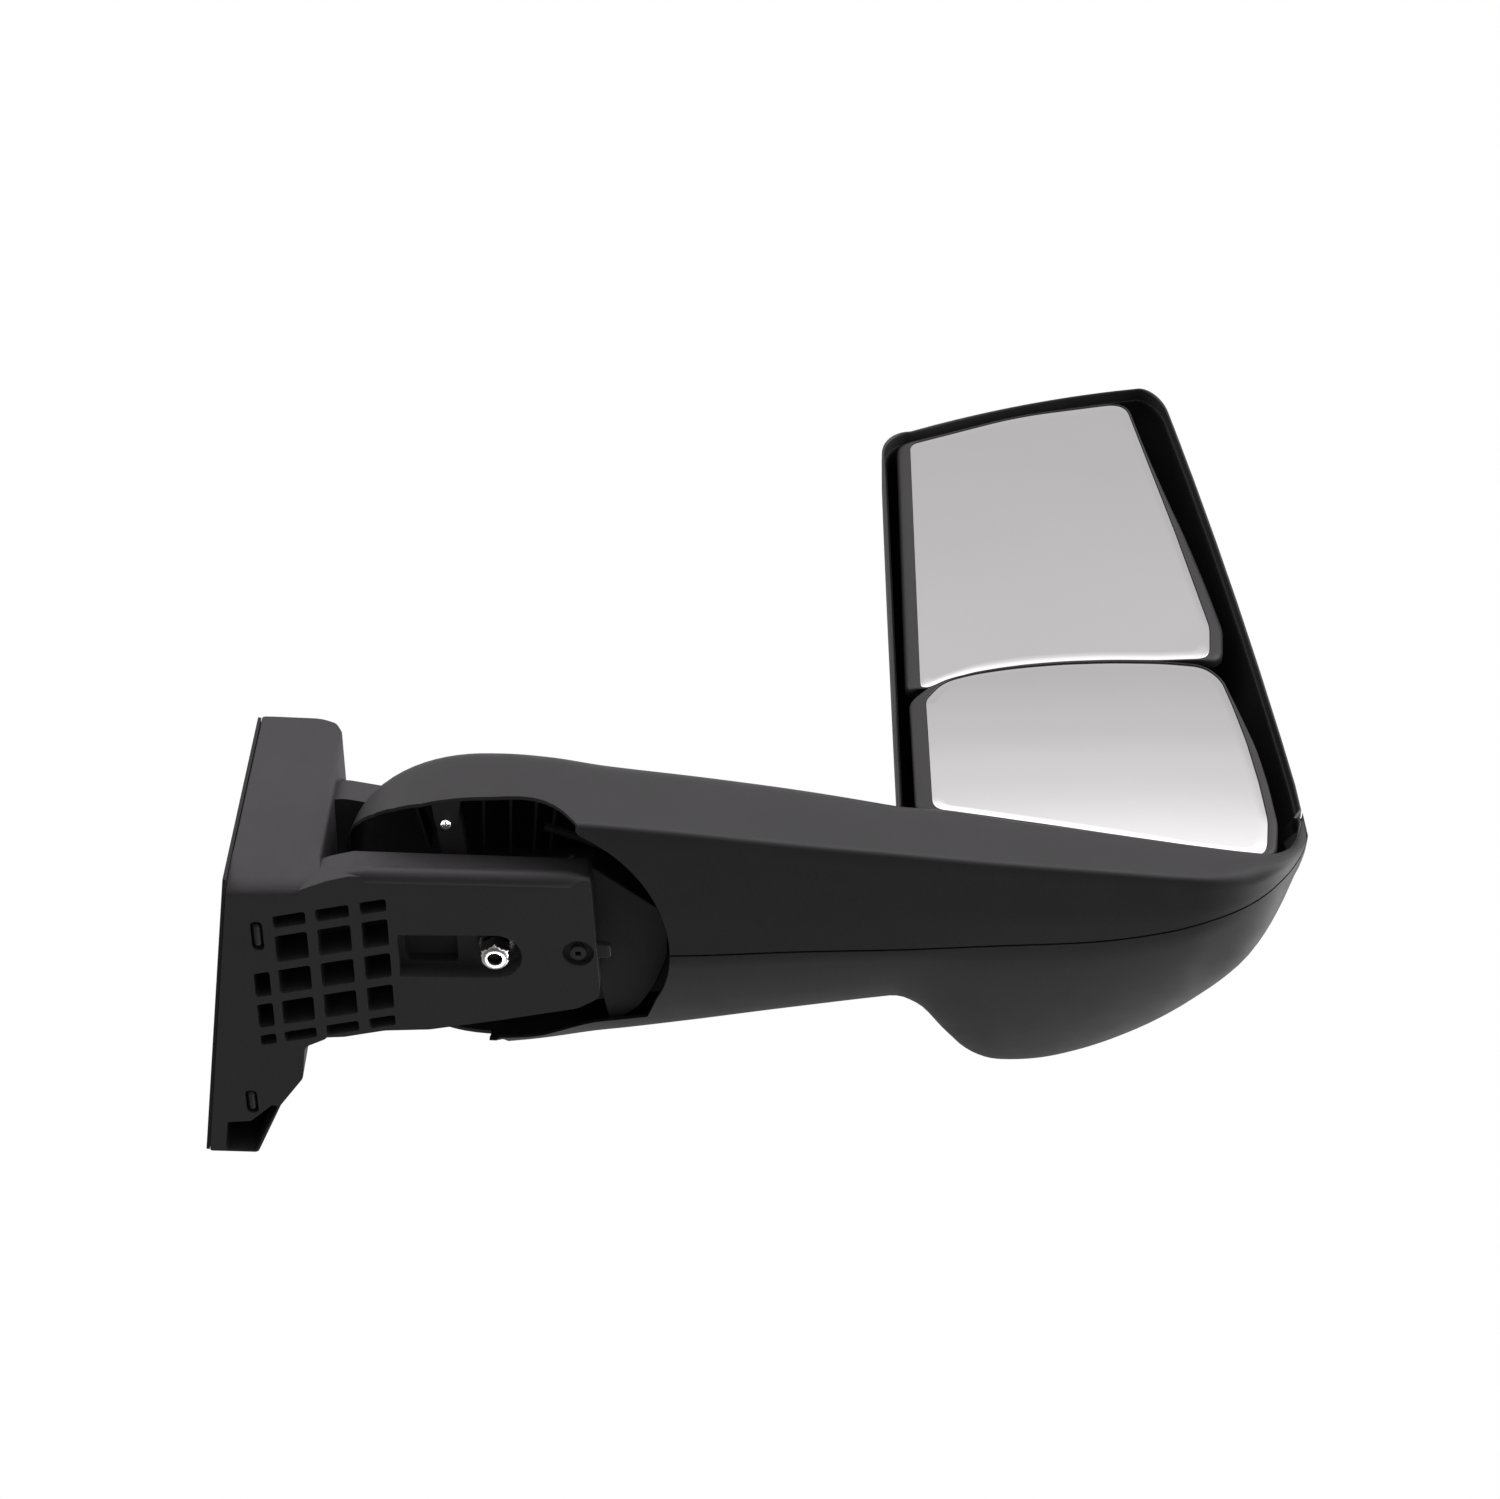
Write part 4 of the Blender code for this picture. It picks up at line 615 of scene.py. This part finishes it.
# -------- fold pivot
def lock_nut(name, across, bore, low, high, place):
    """Hexagon with a domed, turned low end and a round collar above."""
    levels = [(across * 0.40, low), (across * 0.47, low + 0.7), (across * 0.52, low + 1.8),
              (across * 0.6, low + 3.2), (across * 0.6, high - 1.2), (across * 0.54, high)]
    rings = []
    for k in range(96):
        a = 2 * math.pi * k / 96
        flat = across / 2 / math.cos((a + math.pi / 6) % (math.pi / 3) - math.pi / 6)
        outer = [(min(flat, reach), z) for reach, z in levels]
        profile = outer + [(bore, high), (bore, low + 3.4), (bore - 2.6, low + 3.2),
                           (bore - 2.6, low + 0.7), (bore - 1.9, low)]
        rings.append([(r * math.cos(a), r * math.sin(a), z) for r, z in profile])
    return loft(name, rings, place, closed=True)


def build_pivot_nut():
    """Lock nut of the fold pivot, standing in the slot."""
    floor = UNDERSIDE_Z + 14
    nut = lock_nut("pivot_lock_nut", 20.0, 7.9, floor - 17.2, floor - 4.0, at(PIVOT_X, 0))
    dress(nut, "base", "zinc_steel", ["pivot_nut"])


# -------- arm covers
def arm_widths(x, extra):
    """Rear and front of the arm in plan at x."""
    if x < PIVOT_X:
        run = PIVOT_X - x
        rear = -ROOT_R * max(1 - (run / ROOT_R)**ROOT_FULL, 0.0002)**(1 / ROOT_FULL)
        return rear, ROOT_FRONT * math.sqrt(max(1 - (run / ROOT_R)**2, 0.002))
    return curve(REAR_Y, x), curve(FRONT_Y, x) + extra


def lower_front(x, front, seam, low, tall):
    """Front rounding from the side face down to the seam, as (y, z), top to bottom."""
    wide = front - seam
    reach = wide * 0.92
    h = min(0.62 * tall, 18 + 14 * ease((x - 490) / 60) + 14 * ease((420 - x) / 220))
    rise = UNDER_TILT * ease((x - 215) / 60) * ease((770 - x) / 60)
    points = []
    for k in range(19):
        a = math.radians(90) * k / 18
        y = front - reach * (1 - math.cos(a))
        points.append((y, low + h * (1 - math.sin(a)) + rise * (y - seam)))
    return points


def plain_front(x, front, rear, low, tall):
    """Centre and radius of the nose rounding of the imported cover, which sets the outline."""
    nose = 22 + 22 * min(max((x - 490) / 60, 0), 1) * min(max((790 - x) / 60, 0), 1)
    nose += 20 * min(max((480 - x) / 280, 0), 1)
    r = min(nose, (front - rear) * 0.35, tall * 0.6)
    return front - r, low + r, r


def arm_section(x):
    """Closed outer (y, z) section of the arm covers at x."""
    low, high = curve(BOTTOM_Z, x), curve(TOP_Z, x)
    seam = curve(SEAM_Y, x)
    extra = 0.0
    for _ in range(3):
        rear, front = arm_widths(x, extra)
        cy, cz, r = plain_front(x, front - extra, rear, low, high - low)
        goal = SIGHT.y * cy + SIGHT.z * cz + r
        if x < PIVOT_X or front - seam < 14:
            break
        lower = lower_front(x, front, seam, low, high - low)
        extra += (goal - max(SIGHT.y * y + SIGHT.z * z for y, z in lower)) / SIGHT.y
    wide = front - rear
    tall = high - low
    r_rear = min(24, wide * 0.3, tall * 0.45)
    if x > 480:
        r_rear = min(r_rear, 24 - 14 * ease((x - 480) / 60))
    r_top = min(14 - 12 * ease((x - 486) / 16), wide * 0.3, tall * 0.3)
    shoulder = front - extra * ease((x - 486) / 16)
    crown = 4 * ease((500 - x) / 20)
    front_high = high
    if x > 490:
        front_high = high + (PARTING_Z - 0.6 - high) * ease((x - 490) / 14)
    fillet = min(4.5 + 8 * ease((x - 700) / 70), tall * 0.3, wide * 0.2)
    section = []
    for k in range(6):
        a = math.radians(90) * k / 5
        section.append((rear + fillet * (1 - math.sin(a)), low + fillet * (1 - math.cos(a))))
    section.append((rear - 0.6, low + fillet + (high - r_rear - low - fillet) * 0.35))
    section.append((rear - 0.6, low + fillet + (high - r_rear - low - fillet) * 0.7))
    for k in range(9):
        a = math.radians(90) * k / 8
        section.append((rear + r_rear * (1 - math.cos(a)), high - r_rear * (1 - math.sin(a))))
    for k in range(1, 12):
        s = k / 12
        y = rear + r_rear + (shoulder - rear - r_rear - r_top) * s
        section.append((y, high + (front_high - high) * ease(s) + crown * 4 * s * (1 - s)))
    for k in range(7):
        a = math.radians(90) * k / 6
        section.append((shoulder - r_top * (1 - math.sin(a)), front_high - r_top * (1 - math.cos(a))))
    if x < PIVOT_X or front - seam < 14:
        cy, cz, r = plain_front(x, front, rear, low, tall)
        lower = [(cy + r * math.cos(math.radians(5 * k)), cz - r * math.sin(math.radians(5 * k)))
                 for k in range(19)]
        seam = min(seam, lower[-1][0] - 1)
    section += lower
    for k in range(1, 9):
        s = k / 9
        start = lower[-1][0]
        z = lower[-1][1] + (low - lower[-1][1]) * min(1, s * 2.2)
        section.append((start + (rear + fillet - start) * s, z))
    return section


def stations():
    """Places along the arm where its section is drawn, closer together where it turns."""
    xs = [85, 86.5, 88.5, 91, 94, 98, 103, 109, 116]
    xs += [124 + 8 * k for k in range(45)]
    xs += [482 + 5 * k for k in range(44)]
    xs += [700 + 6 * k for k in range(10)]
    return xs + [758, 762, 766, 770, 774, 777, 780, 783, 785, 787, 788.5]


def inner_section(x):
    """The room inside the covers: inset from the skin, and open upwards inside the head."""
    points = inset([(y, z) for y, z in arm_section(x)][::-1], SKIN)[::-1]
    if x < 505:
        return points
    rear = points[7][0]
    ledge = max(rear + 0.5, RIM_Y + 2)
    lifted = []
    for i, (y, z) in enumerate(points):
        if 11 <= i <= 33:
            s = (i - 11) / 22
            lifted.append((ledge + (points[34][0] - ledge) * s, 8.0 - 8.0 * s**3))
        elif 8 <= i < 11:
            lifted.append((ledge, z))
        else:
            lifted.append((y, z))
    return lifted


def rim_outline(t):
    """Closed rim outline as (x, z), counter-clockwise seen from behind."""
    rows = [0.0, 0.05, 0.15, 0.3, 0.45, 0.6, 0.75, 0.86, 0.91]
    rows += [0.935 + 0.065 * math.sin(math.radians(90) * k / 10) for k in range(11)]
    left = [head_edges(w, t)[:2] for w in rows]
    right = [head_edges(w, t)[2:] for w in rows]
    low = rounded([(HEAD_LEFT_X + t, -18, 2), (HEAD_LEFT_X + t + 2, -29 + t, 8), (560, -41 + t, 60),
                   (640, -55 + t, 60), (703, -68 + t, 60), (742, -73 + t, 40), (768 - t, -68 + t, 30),
                   (781 - t, -46, 30), (786 - t, -24, 4)], 6)
    top = [top_point(1 - k / 20, t) for k in range(2, 19)]
    return low + right + top + left[::-1]


def head_edges(w, t):
    """Rim ends of the head section at w (0 at the parting line, 1 at the top edge)."""
    z_left = PARTING_Z + w * (HEAD_TOP_Z[0] - t - PARTING_Z)
    z_right = PARTING_Z + w * (HEAD_TOP_Z[1] - t - PARTING_Z)
    turn = max(0.0, (w - 0.935) / 0.065)
    take = 1 - math.sqrt(max(0.0, 1 - turn**2))
    x_left = HEAD_LEFT_X + 2 * w + t + 24 * take
    x_right = 787 - 0.07 * z_right - 6e-5 * z_right**2 - t - 17 * take - 1.2 * ease((20 - z_right) / 40)
    return x_left, z_left, x_right, z_right


def crowned(z_left, z_right, w, s):
    """Height along a head section: level at the parting line, crowned at the top edge."""
    return z_left + (z_right - z_left) * s + TOP_CROWN * w**4 * 4 * s * (1 - s)


def top_point(s, t):
    x_left, z_left, x_right, z_right = head_edges(1.0, t)
    return x_left + (x_right - x_left) * s, crowned(z_left, z_right, 1.0, s)


def rim_y(z, depth=0.0):
    return RIM_Y - math.tan(HEAD_LEAN) * (z - HEAD_Z0) + depth


def rim_rings():
    """Cross-sections of the thin rim round the head's mouth, for loft(closed=True)."""
    shapes = []
    for (ox, oz), (ix, iz) in zip(rim_outline(0.0), rim_outline(RIM_W)):
        ring = [(ox, rim_y(oz, RIM_D), oz)]
        for k in range(9):
            a = math.radians(180) * k / 8
            s = (1 - math.cos(a)) / 2
            x, z = ox + (ix - ox) * s, oz + (iz - oz) * s
            ring.append((x, rim_y(z, RIM_NOSE - RIM_NOSE * math.sin(a)), z))
        ring.append((ix, rim_y(iz, RIM_D), iz))
        shapes.append(ring)
    return shapes


def part_at_seam(item, side):
    """Keep the rear (-1) or front (+1) half of the covers, closed along the seam line."""
    body = bmesh.new()
    body.from_mesh(item.data)
    for vert in body.verts:
        vert.co.y -= curve(SEAM_Y, vert.co.x / MM) * MM
    result = bmesh.ops.bisect_plane(body, geom=body.verts[:] + body.edges[:] + body.faces[:],
                                    dist=1e-7, plane_co=(0, side * SEAM_GAP / 2 * MM, 0),
                                    plane_no=(0, 1, 0), clear_inner=side > 0, clear_outer=side < 0)
    edges = [e for e in result["geom_cut"] if isinstance(e, bmesh.types.BMEdge) and e.is_boundary]
    bmesh.ops.triangle_fill(body, edges=edges, use_beauty=True, normal=(0, 1, 0))
    for vert in body.verts:
        vert.co.y += curve(SEAM_Y, vert.co.x / MM) * MM
    bmesh.ops.recalc_face_normals(body, faces=body.faces)
    body.to_mesh(item.data)
    body.free()


def build_covers():
    """Both arm covers: one hollow skin, opened round the tongue and parted along the seam."""
    rings = [[(x, y, z) for y, z in arm_section(x)] for x in stations()]
    whole = loft("rear_cover_skin", rings)
    inner = [x for x in stations() if 89.5 < x < 775]
    rings = [[(x, y, z) for y, z in inner_section(x)] for x in inner]
    room = loft("room", rings)
    start = math.radians(24)
    opening = [(191, 150), (191, 89)]
    opening += [(x, curve(FRONT_Y, x) - 9) for x in (230, 246, 262, 276, 290, 300, 308)]
    edge = circle(PIVOT_X, 0, CUTOUT_R, 110, start, -(math.pi + start + math.radians(55)))
    opening += [(x, max(y, -112.6 - 0.03 * (x - PIVOT_X))) for x, y in edge]
    opening += [(120, 150)]
    rise = [(190, -67), (170, -66.6), (150, -65), (130, -57), (112, -45), (101, -33), (94, -22),
            (86, -16), (60, -16)]
    rear_rise = [(60, -130), (266, -130), (264.5, -101), (262, -98), (257, -91), (252, -84.5), (246, -78.5),
                 (239, -73.6), (231, -70), (222, -67.8), (212, -67)] + rise
    cut(whole, room, prism("opening", opening[::-1], -120, -67),
        prism("rear_rise", rear_rise, -160, 0, SWAP_XZ),
        prism("front_rise", [(60, -130), (190, -130)] + rise, -1, 190, SWAP_XZ),
        rod("shaft_hole", [(20, -20), (20, 30)], at(PIVOT_X, 0)))

    keep_largest(whole)
    front = whole.copy()
    front.data = whole.data.copy()
    front.name = "front_cover_skin"
    to_scene(front)
    part_at_seam(whole, -1)
    part_at_seam(front, 1)
    dress(whole, "arm", "grained_plastic", ["rear_arm_cover"], bevel=0.5, angle=38)
    dress(front, "arm", "grained_plastic", ["front_arm_cover"], bevel=0.5, angle=38)

    tab = prism("cover_tab", rounded([(157, -112.6, 1), (178, -112.6, 1), (175, -92, 5), (172, -88, 4),
                                      (162, -88, 4), (159, -92, 5)], 4), -64.4, -61)
    dress(tab, "arm", "grained_plastic", bevel=0.4)
    for x, lean, end in ((141, 10, -58), (172, 3, -50), (192, -2, -50), (212, -3, -50), (231, -5, -52),
                         (246, -8, -56)):
        start = arm_widths(x, 0.0)[0] + 4
        outline = [(x, start), (x + 2.2, start), (x + 2.2 + lean, end), (x + lean, end)]
        rib = prism(f"cover_rib_{x}", outline, -46, -27)
        dress(rib, "arm", "grained_plastic", bevel=0.4)


def build_core_plate():
    """Underside of the arm casting, seen beyond the tongue's end."""
    outline = rounded([(250, -60, 2), (257, -66, 2), (317, -18.5, 3), (324, 0, 20),
                       (323.5, 26, 20), (313.5, 54, 30), (302, 73, 20), (285.5, 87, 3),
                       (279.5, 88, 3), (270.5, 38, 3), (268, -10, 6)], 5)
    dress(prism("core_plate", outline, -66.5, -62.6), "arm", "cast_black", bevel=0.8)
    rivet = rod("core_rivet", [(1.4, -68.2), (2.6, -67.6), (3.0, -66.6), (3.0, -65)], at(260, -61), sides=24)
    dress(rivet, "arm", "zinc_steel")


# -------- head
HEAD_SPAN = 295.0
HEAD_STEPS = 84
DOME_OVER = 0.16            # rest of the head's height, above DOME_FROM
# Share of the full depth that the head's front has reached, by distance from the inboard side.
HEAD_DEPTHS = [(0, 0.0), (1, 0.1), (3, 0.3), (6, 0.5), (9, 0.62), (13, 0.69), (18, 0.73), (24, 0.765),
               (36, 0.835), (51, 0.93), (66, 0.98), (81, 1.0), (111, 0.99), (140, 0.945), (168, 0.872),
               (197, 0.772), (224, 0.645), (251, 0.475), (263, 0.37), (275, 0.235), (285, 0.12),
               (292, 0.04), (295, 0.0)]


def head_row(w, t):
    """Level line round the head at height share w, inset by t; its points crowd at the corners."""
    x_left, z_left, x_right, z_right = head_edges(w, t)
    deep = HEAD_DEEP - HEAD_THINS * w**1.8 - t
    if w > DOME_FROM:
        deep *= max(0.0, 1 - ((w - DOME_FROM) / DOME_OVER)**3)**(1 / 3)
    row = []
    for k in range(HEAD_STEPS + 1):
        u = k / HEAD_STEPS
        crowding = 0.055 * math.sin(4 * math.pi * u) / math.pi - 0.16 * math.sin(2 * math.pi * u)
        run = HEAD_SPAN * (u + crowding)
        run = min(max(run, 0.0), HEAD_SPAN)
        s = run / HEAD_SPAN
        z = crowned(z_left, z_right, w, s)
        out = max(curve(HEAD_DEPTHS, run), 0.0)**(1 - 0.5 * w)
        y = rim_y(z, RIM_D + 0.4) + out * max(deep - RIM_D, 0.0)
        row.append((x_left + (x_right - x_left) * s, y, z))
    return row


def head_shell(name, outside, inside):
    """Closed shell between two insets of the head's outer surface."""
    levels = [DOME_FROM * k / 26 for k in range(27)]
    levels += [DOME_FROM + DOME_OVER * math.sin(math.radians(90) * k / 16) for k in range(1, 17)]
    outer = [head_row(w, outside) for w in levels]
    inner = [head_row(w, inside) for w in levels]
    rows, columns = len(outer), len(outer[0])
    verts = [p for row in outer for p in row] + [p for row in inner for p in row]
    half = rows * columns
    faces = []
    for i in range(rows - 1):
        for j in range(columns - 1):
            a = i * columns + j
            faces.append((a, a + 1, a + columns + 1, a + columns))
            faces.append((half + a, half + a + columns, half + a + columns + 1, half + a + 1))
    border = [(0, j) for j in range(columns)] + [(i, columns - 1) for i in range(1, rows)]
    border += [(rows - 1, j) for j in range(columns - 2, -1, -1)] + [(i, 0) for i in range(rows - 2, 0, -1)]
    border = [i * columns + j for i, j in border]
    for k, a in enumerate(border):
        b = border[(k + 1) % len(border)]
        faces.append((b, a, half + a, half + b))
    return make(name, verts, faces)


def build_head():
    """Shell, a near-black sheet inside it that is painted shade, the foot that closes the gap to the covers
    in the same painted shade, and the rim.
    """
    dress(head_shell("head_shell", 0.0, SKIN), "arm", "grained_plastic", ["head_housing"])
    # painted shade: near-black sheet just inside the shell darkens the hollow behind the glasses
    dress(head_shell("head_painted_shade_liner", SKIN + 0.2, SKIN + 1.2), "arm", "grained_plastic", look="painted_shade_liner")
    top, ledge, low = FOOT_Z
    skirt = []
    for (xo, yo, _), (xi, yi, _) in zip(head_row(0.0, 0.8), head_row(0.0, 3.6)):
        wall = min(yo - 0.3, arm_section(xo)[34][0] - 1.2)
        back = min(yi, wall - 1.8)
        skirt.append([(xo, yo, top), (xo, yo, ledge), (xo, wall, ledge), (xo, wall, low),
                      (xi, back, low), (xi, back, top)])
    # the foot is coloured with the same painted shade
    dress(loft("head_foot", skirt), "arm", "grained_plastic", look="painted_shade_liner")
    dress(loft("head_rim", rim_rings(), closed=True), "arm", "grained_plastic", ["head_bezel"])


# -------- glasses
def in_head(outline):
    """(x, z) in the row frame to (x, height up the leaned glass plane)."""
    return [(x, (z - HEAD_Z0) / math.cos(HEAD_LEAN)) for x, z in outline]


def bulge(x, z, centre, sag):
    """Depth of the face of a spherical glass; its middle stands to the rear by sag."""
    return sag * (((x - centre[0])**2 + (z - centre[1])**2) / BULGE_REACH**2 - 1)


def pane(name, outline, sag, stand, centre):
    """Glass plate with ground edges; its middle stands to the rear by sag."""
    rings = []
    shape = [(1.0, GLASS_T), (1.0, 0.35), (0.9985, 0.1), (0.996, 0.0)]
    shape += [(1 - 0.996 * k / 16, 0.0) for k in range(1, 16)]
    for k, depth in shape:
        ring = []
        for x, z in outline:
            px, pz = centre[0] + (x - centre[0]) * k, centre[1] + (z - centre[1]) * k
            ring.append((px, pz, depth + bulge(px, pz, centre, sag)))
        rings.append(ring)
    return loft(name, rings, facing_glass(0, -stand, 0))


def part_way(a, b, s):
    """Point a share s of the way from a to b."""
    return a[0] + (b[0] - a[0]) * s, a[1] + (b[1] - a[1]) * s


def carrier(prefix, outline, centre, stand, sag, sides, fade):
    """Tray edge round the glass, with rounded side bands that fade out towards the top."""
    lip = inset(outline, -1.5)
    left = centre[0] - min(x for x, _ in outline)
    right = max(x for x, _ in outline) - centre[0]
    top = max(z for _, z in outline)
    grown = []
    for x, z in outline:
        side = 0 if x < centre[0] else 1
        run = (x - centre[0]) / (left, right)[side]
        band = sides[side] * ease((top - z) / fade[side])
        grown.append((x + band * run, z))
    edge = inset(grown, -1.8)
    bead = inset(outline, -0.35)
    tray = inset(outline, 5)
    rings = []
    for at_glass, at_bead, at_lip, at_edge, at_tray in zip(outline, bead, lip, edge, tray):
        ring = [(*at_bead, 1.4), (*at_bead, -0.3), (*part_way(at_bead, at_lip, 0.35), -0.7),
                (*at_lip, -0.4)]
        for k in range(1, 8):
            a = math.radians(90) * k / 7
            ring.append((*part_way(at_lip, at_edge, math.sin(a)), -0.4 + 5.4 * (1 - math.cos(a))))
        ring += [(*at_edge, 8.5), (*part_way(at_edge, at_lip, 0.3), 9.5), (*at_bead, 7.4),
                 (*at_tray, 7.0), (*at_tray, 3.0), (*at_bead, 2.6)]
        shift = bulge(*at_glass, centre, sag)
        rings.append([(x, z, depth + shift) for x, z, depth in ring])
    return loft(prefix + "_carrier_edge", rings, facing_glass(0, -stand, 0), closed=True)


def carrier_back(prefix, outline, centre, stand, cups):
    """Plate behind the heater pad with the gimbal lugs, the stiffening collar and the jack cups."""
    cx, ch = centre
    back = 6.2
    plate = prism(prefix + "_carrier_plate", inset(outline, 5.4), 3.3, back, facing_glass(0, -stand, 0))
    here = facing_glass(cx, -stand, ch)
    extras = [turned("collar", [(GIMBAL_R + 12, back - 1), (GIMBAL_R + 15, back - 1),
                                (GIMBAL_R + 15, back + 5), (GIMBAL_R + 12, back + 5)], here)]
    for s in (-1, 1):
        low, high = sorted((s * 12.0, s * 17.0))
        extras.append(box("lug", (-6, low, back - 1), (6, high, GIMBAL_D + 5), here))
        pin = [(2.6, s * 16.0), (2.6, s * (GIMBAL_R - 2.0))][::s]
        extras.append(rod("pin", pin, head_place(cx, GIMBAL_D - stand, ch)))
    for jx, jh in cups:
        extras.append(turned("cup", [(6.0, back - 0.5), (8.0, back - 0.5), (8.0, back + 8), (6.0, back + 8)],
                             facing_glass(cx + jx, 0, ch + jh)))
    join(plate, *extras)
    return plate


def build_glass(prefix, corners, centre_xz, sag, stand, sides, fade, cups):
    outline = evenly(in_head(rounded(corners, 9)), 5.0)
    centre = (centre_xz[0], (centre_xz[1] - HEAD_Z0) / math.cos(HEAD_LEAN))
    body = prefix + "_mirror"
    dress(pane(prefix + "_glass_pane", outline, sag, stand, centre), body, "mirror_glass",
          [prefix + "_glass"])
    dress(carrier(prefix, outline, centre, stand, sag, sides, fade), body, "inner_plastic",
          [prefix + "_glass_carrier"], look="grained_plastic")
    dress(carrier_back(prefix, outline, centre, stand, cups), body, "inner_plastic",
          [prefix + "_glass_carrier"], bevel=0.4)


# -------- looks of the kept CAD nodes
def dress_cad():
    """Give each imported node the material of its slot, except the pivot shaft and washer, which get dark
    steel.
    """
    for row in frame["record"]["subparts"]:
        item = frame["nodes"].get(row["node"])
        if item is None:
            continue
        look = row["material_slot"]
        if row["node"] in ("pivot_shaft", "pivot_washer"):
            look = "dark_steel"
        for slot in item.material_slots:
            slot.material = MATERIALS[look]


# -------- studio, in metres
FLOOR_HALF, FLOOR_Z = 9.0, -2.25
CAMERA_AT = (0.3839, -1.4607, -1.9252)
CAMERA_TURN = (math.radians(145), 0.0, 0.0)     # looks 55 degrees up, to the front
CAMERA_LENS, CAMERA_SENSOR = 77.64, 36.0


def build_world():
    """Pale studio: bright all round above the horizon, dimmer high up behind, dark underneath."""
    world = bpy.data.worlds.new("studio")
    bpy.context.scene.world = world
    world.use_nodes = True
    tree = world.node_tree
    link = tree.links.new
    coords = tree.nodes.new("ShaderNodeTexCoord")
    split = tree.nodes.new("ShaderNodeSeparateXYZ")
    link(coords.outputs["Generated"], split.inputs["Vector"])

    def ramp(source, stops):
        node = tree.nodes.new("ShaderNodeValToRGB")
        node.color_ramp.interpolation = "EASE"
        while len(node.color_ramp.elements) < len(stops):
            node.color_ramp.elements.new(0.5)
        for element, (place, value) in zip(node.color_ramp.elements, stops):
            element.position = place
            element.color = (value, value * 0.985, value * 0.995, 1)
        link(source, node.inputs["Fac"])
        return node.outputs["Color"]

    def scaled(source, low, high):
        node = tree.nodes.new("ShaderNodeMapRange")
        node.inputs["From Min"].default_value = low
        node.inputs["From Max"].default_value = high
        link(source, node.inputs["Value"])
        return node.outputs["Result"]

    def blended(fac, low, high):
        node = tree.nodes.new("ShaderNodeMix")
        node.data_type = "RGBA"
        colours = [s for s in node.inputs if s.type == "RGBA"]
        link(fac, node.inputs["Factor"])
        link(low, colours[0])
        link(high, colours[1])
        return [s for s in node.outputs if s.type == "RGBA"][0]

    height = scaled(split.outputs["Z"], -1.0, 1.0)
    ahead = ramp(height, [(0.0, 0.11), (0.10, 0.15), (0.22, 0.28), (0.36, 0.36), (0.5, 0.36), (0.75, 0.3),
                          (0.9, 0.3), (1.0, 0.45)])
    behind = ramp(height, [(0.0, 0.07), (0.25, 0.18), (0.42, 0.45), (0.5, 0.7), (0.58, 1.25), (0.68, 1.7),
                           (0.772, 1.17), (0.828, 0.73), (0.848, 0.62), (0.877, 0.54), (1.0, 0.6)])
    outboard = ramp(height, [(0.0, 0.1), (0.2, 0.35), (0.35, 2.0), (0.5, 3.2), (0.7, 1.8), (0.85, 0.5),
                             (1.0, 0.5)])
    around = blended(scaled(split.outputs["Y"], -0.25, 0.3), behind, ahead)
    around = blended(scaled(split.outputs["X"], 0.15, 0.85), around, outboard)
    seen = tree.nodes.new("ShaderNodeLightPath")
    plain = tree.nodes.new("ShaderNodeRGB")
    plain.outputs["Color"].default_value = (1, 1, 1, 1)
    result = blended(seen.outputs["Is Camera Ray"], around, plain.outputs["Color"])
    link(result, tree.nodes["Background"].inputs["Color"])
    tree.nodes["Background"].inputs["Strength"].default_value = 1.0


def area_light(name, place, target, width, height, power):
    light = bpy.data.lights.new(name, "AREA")
    light.shape = "RECTANGLE"
    light.size, light.size_y = width, height
    light.energy = power
    item = bpy.data.objects.new(name, light)
    item.location = place
    item.rotation_euler = (Vector(target) - Vector(place)).to_track_quat("-Z", "Y").to_euler()
    to_scene(item)
    return item


def build_metal_light():
    """Soft light from below in front that picks out the plated fasteners."""
    light = area_light("fastener_light", (0.25, 0.95, -1.35), (0.2, 0.0, -0.1), 0.5, 0.5, 14.0)
    bright = bpy.data.collections.new("plated_fasteners")
    bright.objects.link(bpy.data.objects["pivot_lock_nut"])
    bright.objects.link(frame["nodes"]["cover_screw"])
    light.light_linking.receiver_collection = bright


def build_floor():
    """Plain pale floor, well below the mirror because it is seen from underneath."""
    mesh = bpy.data.meshes.new("floor")
    corners = [(-1, -1), (1, -1), (1, 1), (-1, 1)]
    mesh.from_pydata([(x * FLOOR_HALF, y * FLOOR_HALF, FLOOR_Z) for x, y in corners], [],
                     [(0, 1, 2, 3)])
    floor = bpy.data.objects.new("floor", mesh)
    to_scene(floor)
    surface = Nodes("floor_look")
    surface.drive("Base Color", surface.mix(surface.noise(2.0, 5.0), (0.78, 0.78, 0.78), (0.82, 0.82, 0.82)))
    surface.fixed(Roughness=0.8)
    mesh.materials.append(surface.material)
    floor.visible_glossy = False
    floor.visible_diffuse = False


def build_camera():
    """Long lens, below and behind the mirror."""
    data = bpy.data.cameras.new("camera")
    data.lens = CAMERA_LENS
    data.sensor_width = CAMERA_SENSOR
    camera = bpy.data.objects.new("camera", data)
    camera.location = CAMERA_AT
    camera.rotation_euler = CAMERA_TURN
    to_scene(camera)
    bpy.context.scene.camera = camera


def main():
    bpy.context.scene.view_settings.view_transform = "Standard"
    build_camera()
    build_world()
    build_floor()
    build_bracket()
    build_tongue_tab()
    build_pins()
    build_pivot_nut()
    build_covers()
    build_core_plate()
    build_head()
    build_glass("main", MAIN_GLASS, MAIN_CENTRE, 0.0, 0.0, (9.5, 9.0), (60, 260),
                [(0, JACK_ARM), (JACK_ARM, 0)])
    build_glass("wide", WIDE_GLASS, WIDE_CENTRE, 7.0, WIDE_STAND, (10.5, 6.0), (40, 120), [])
    dress_cad()
    build_metal_light()


main()
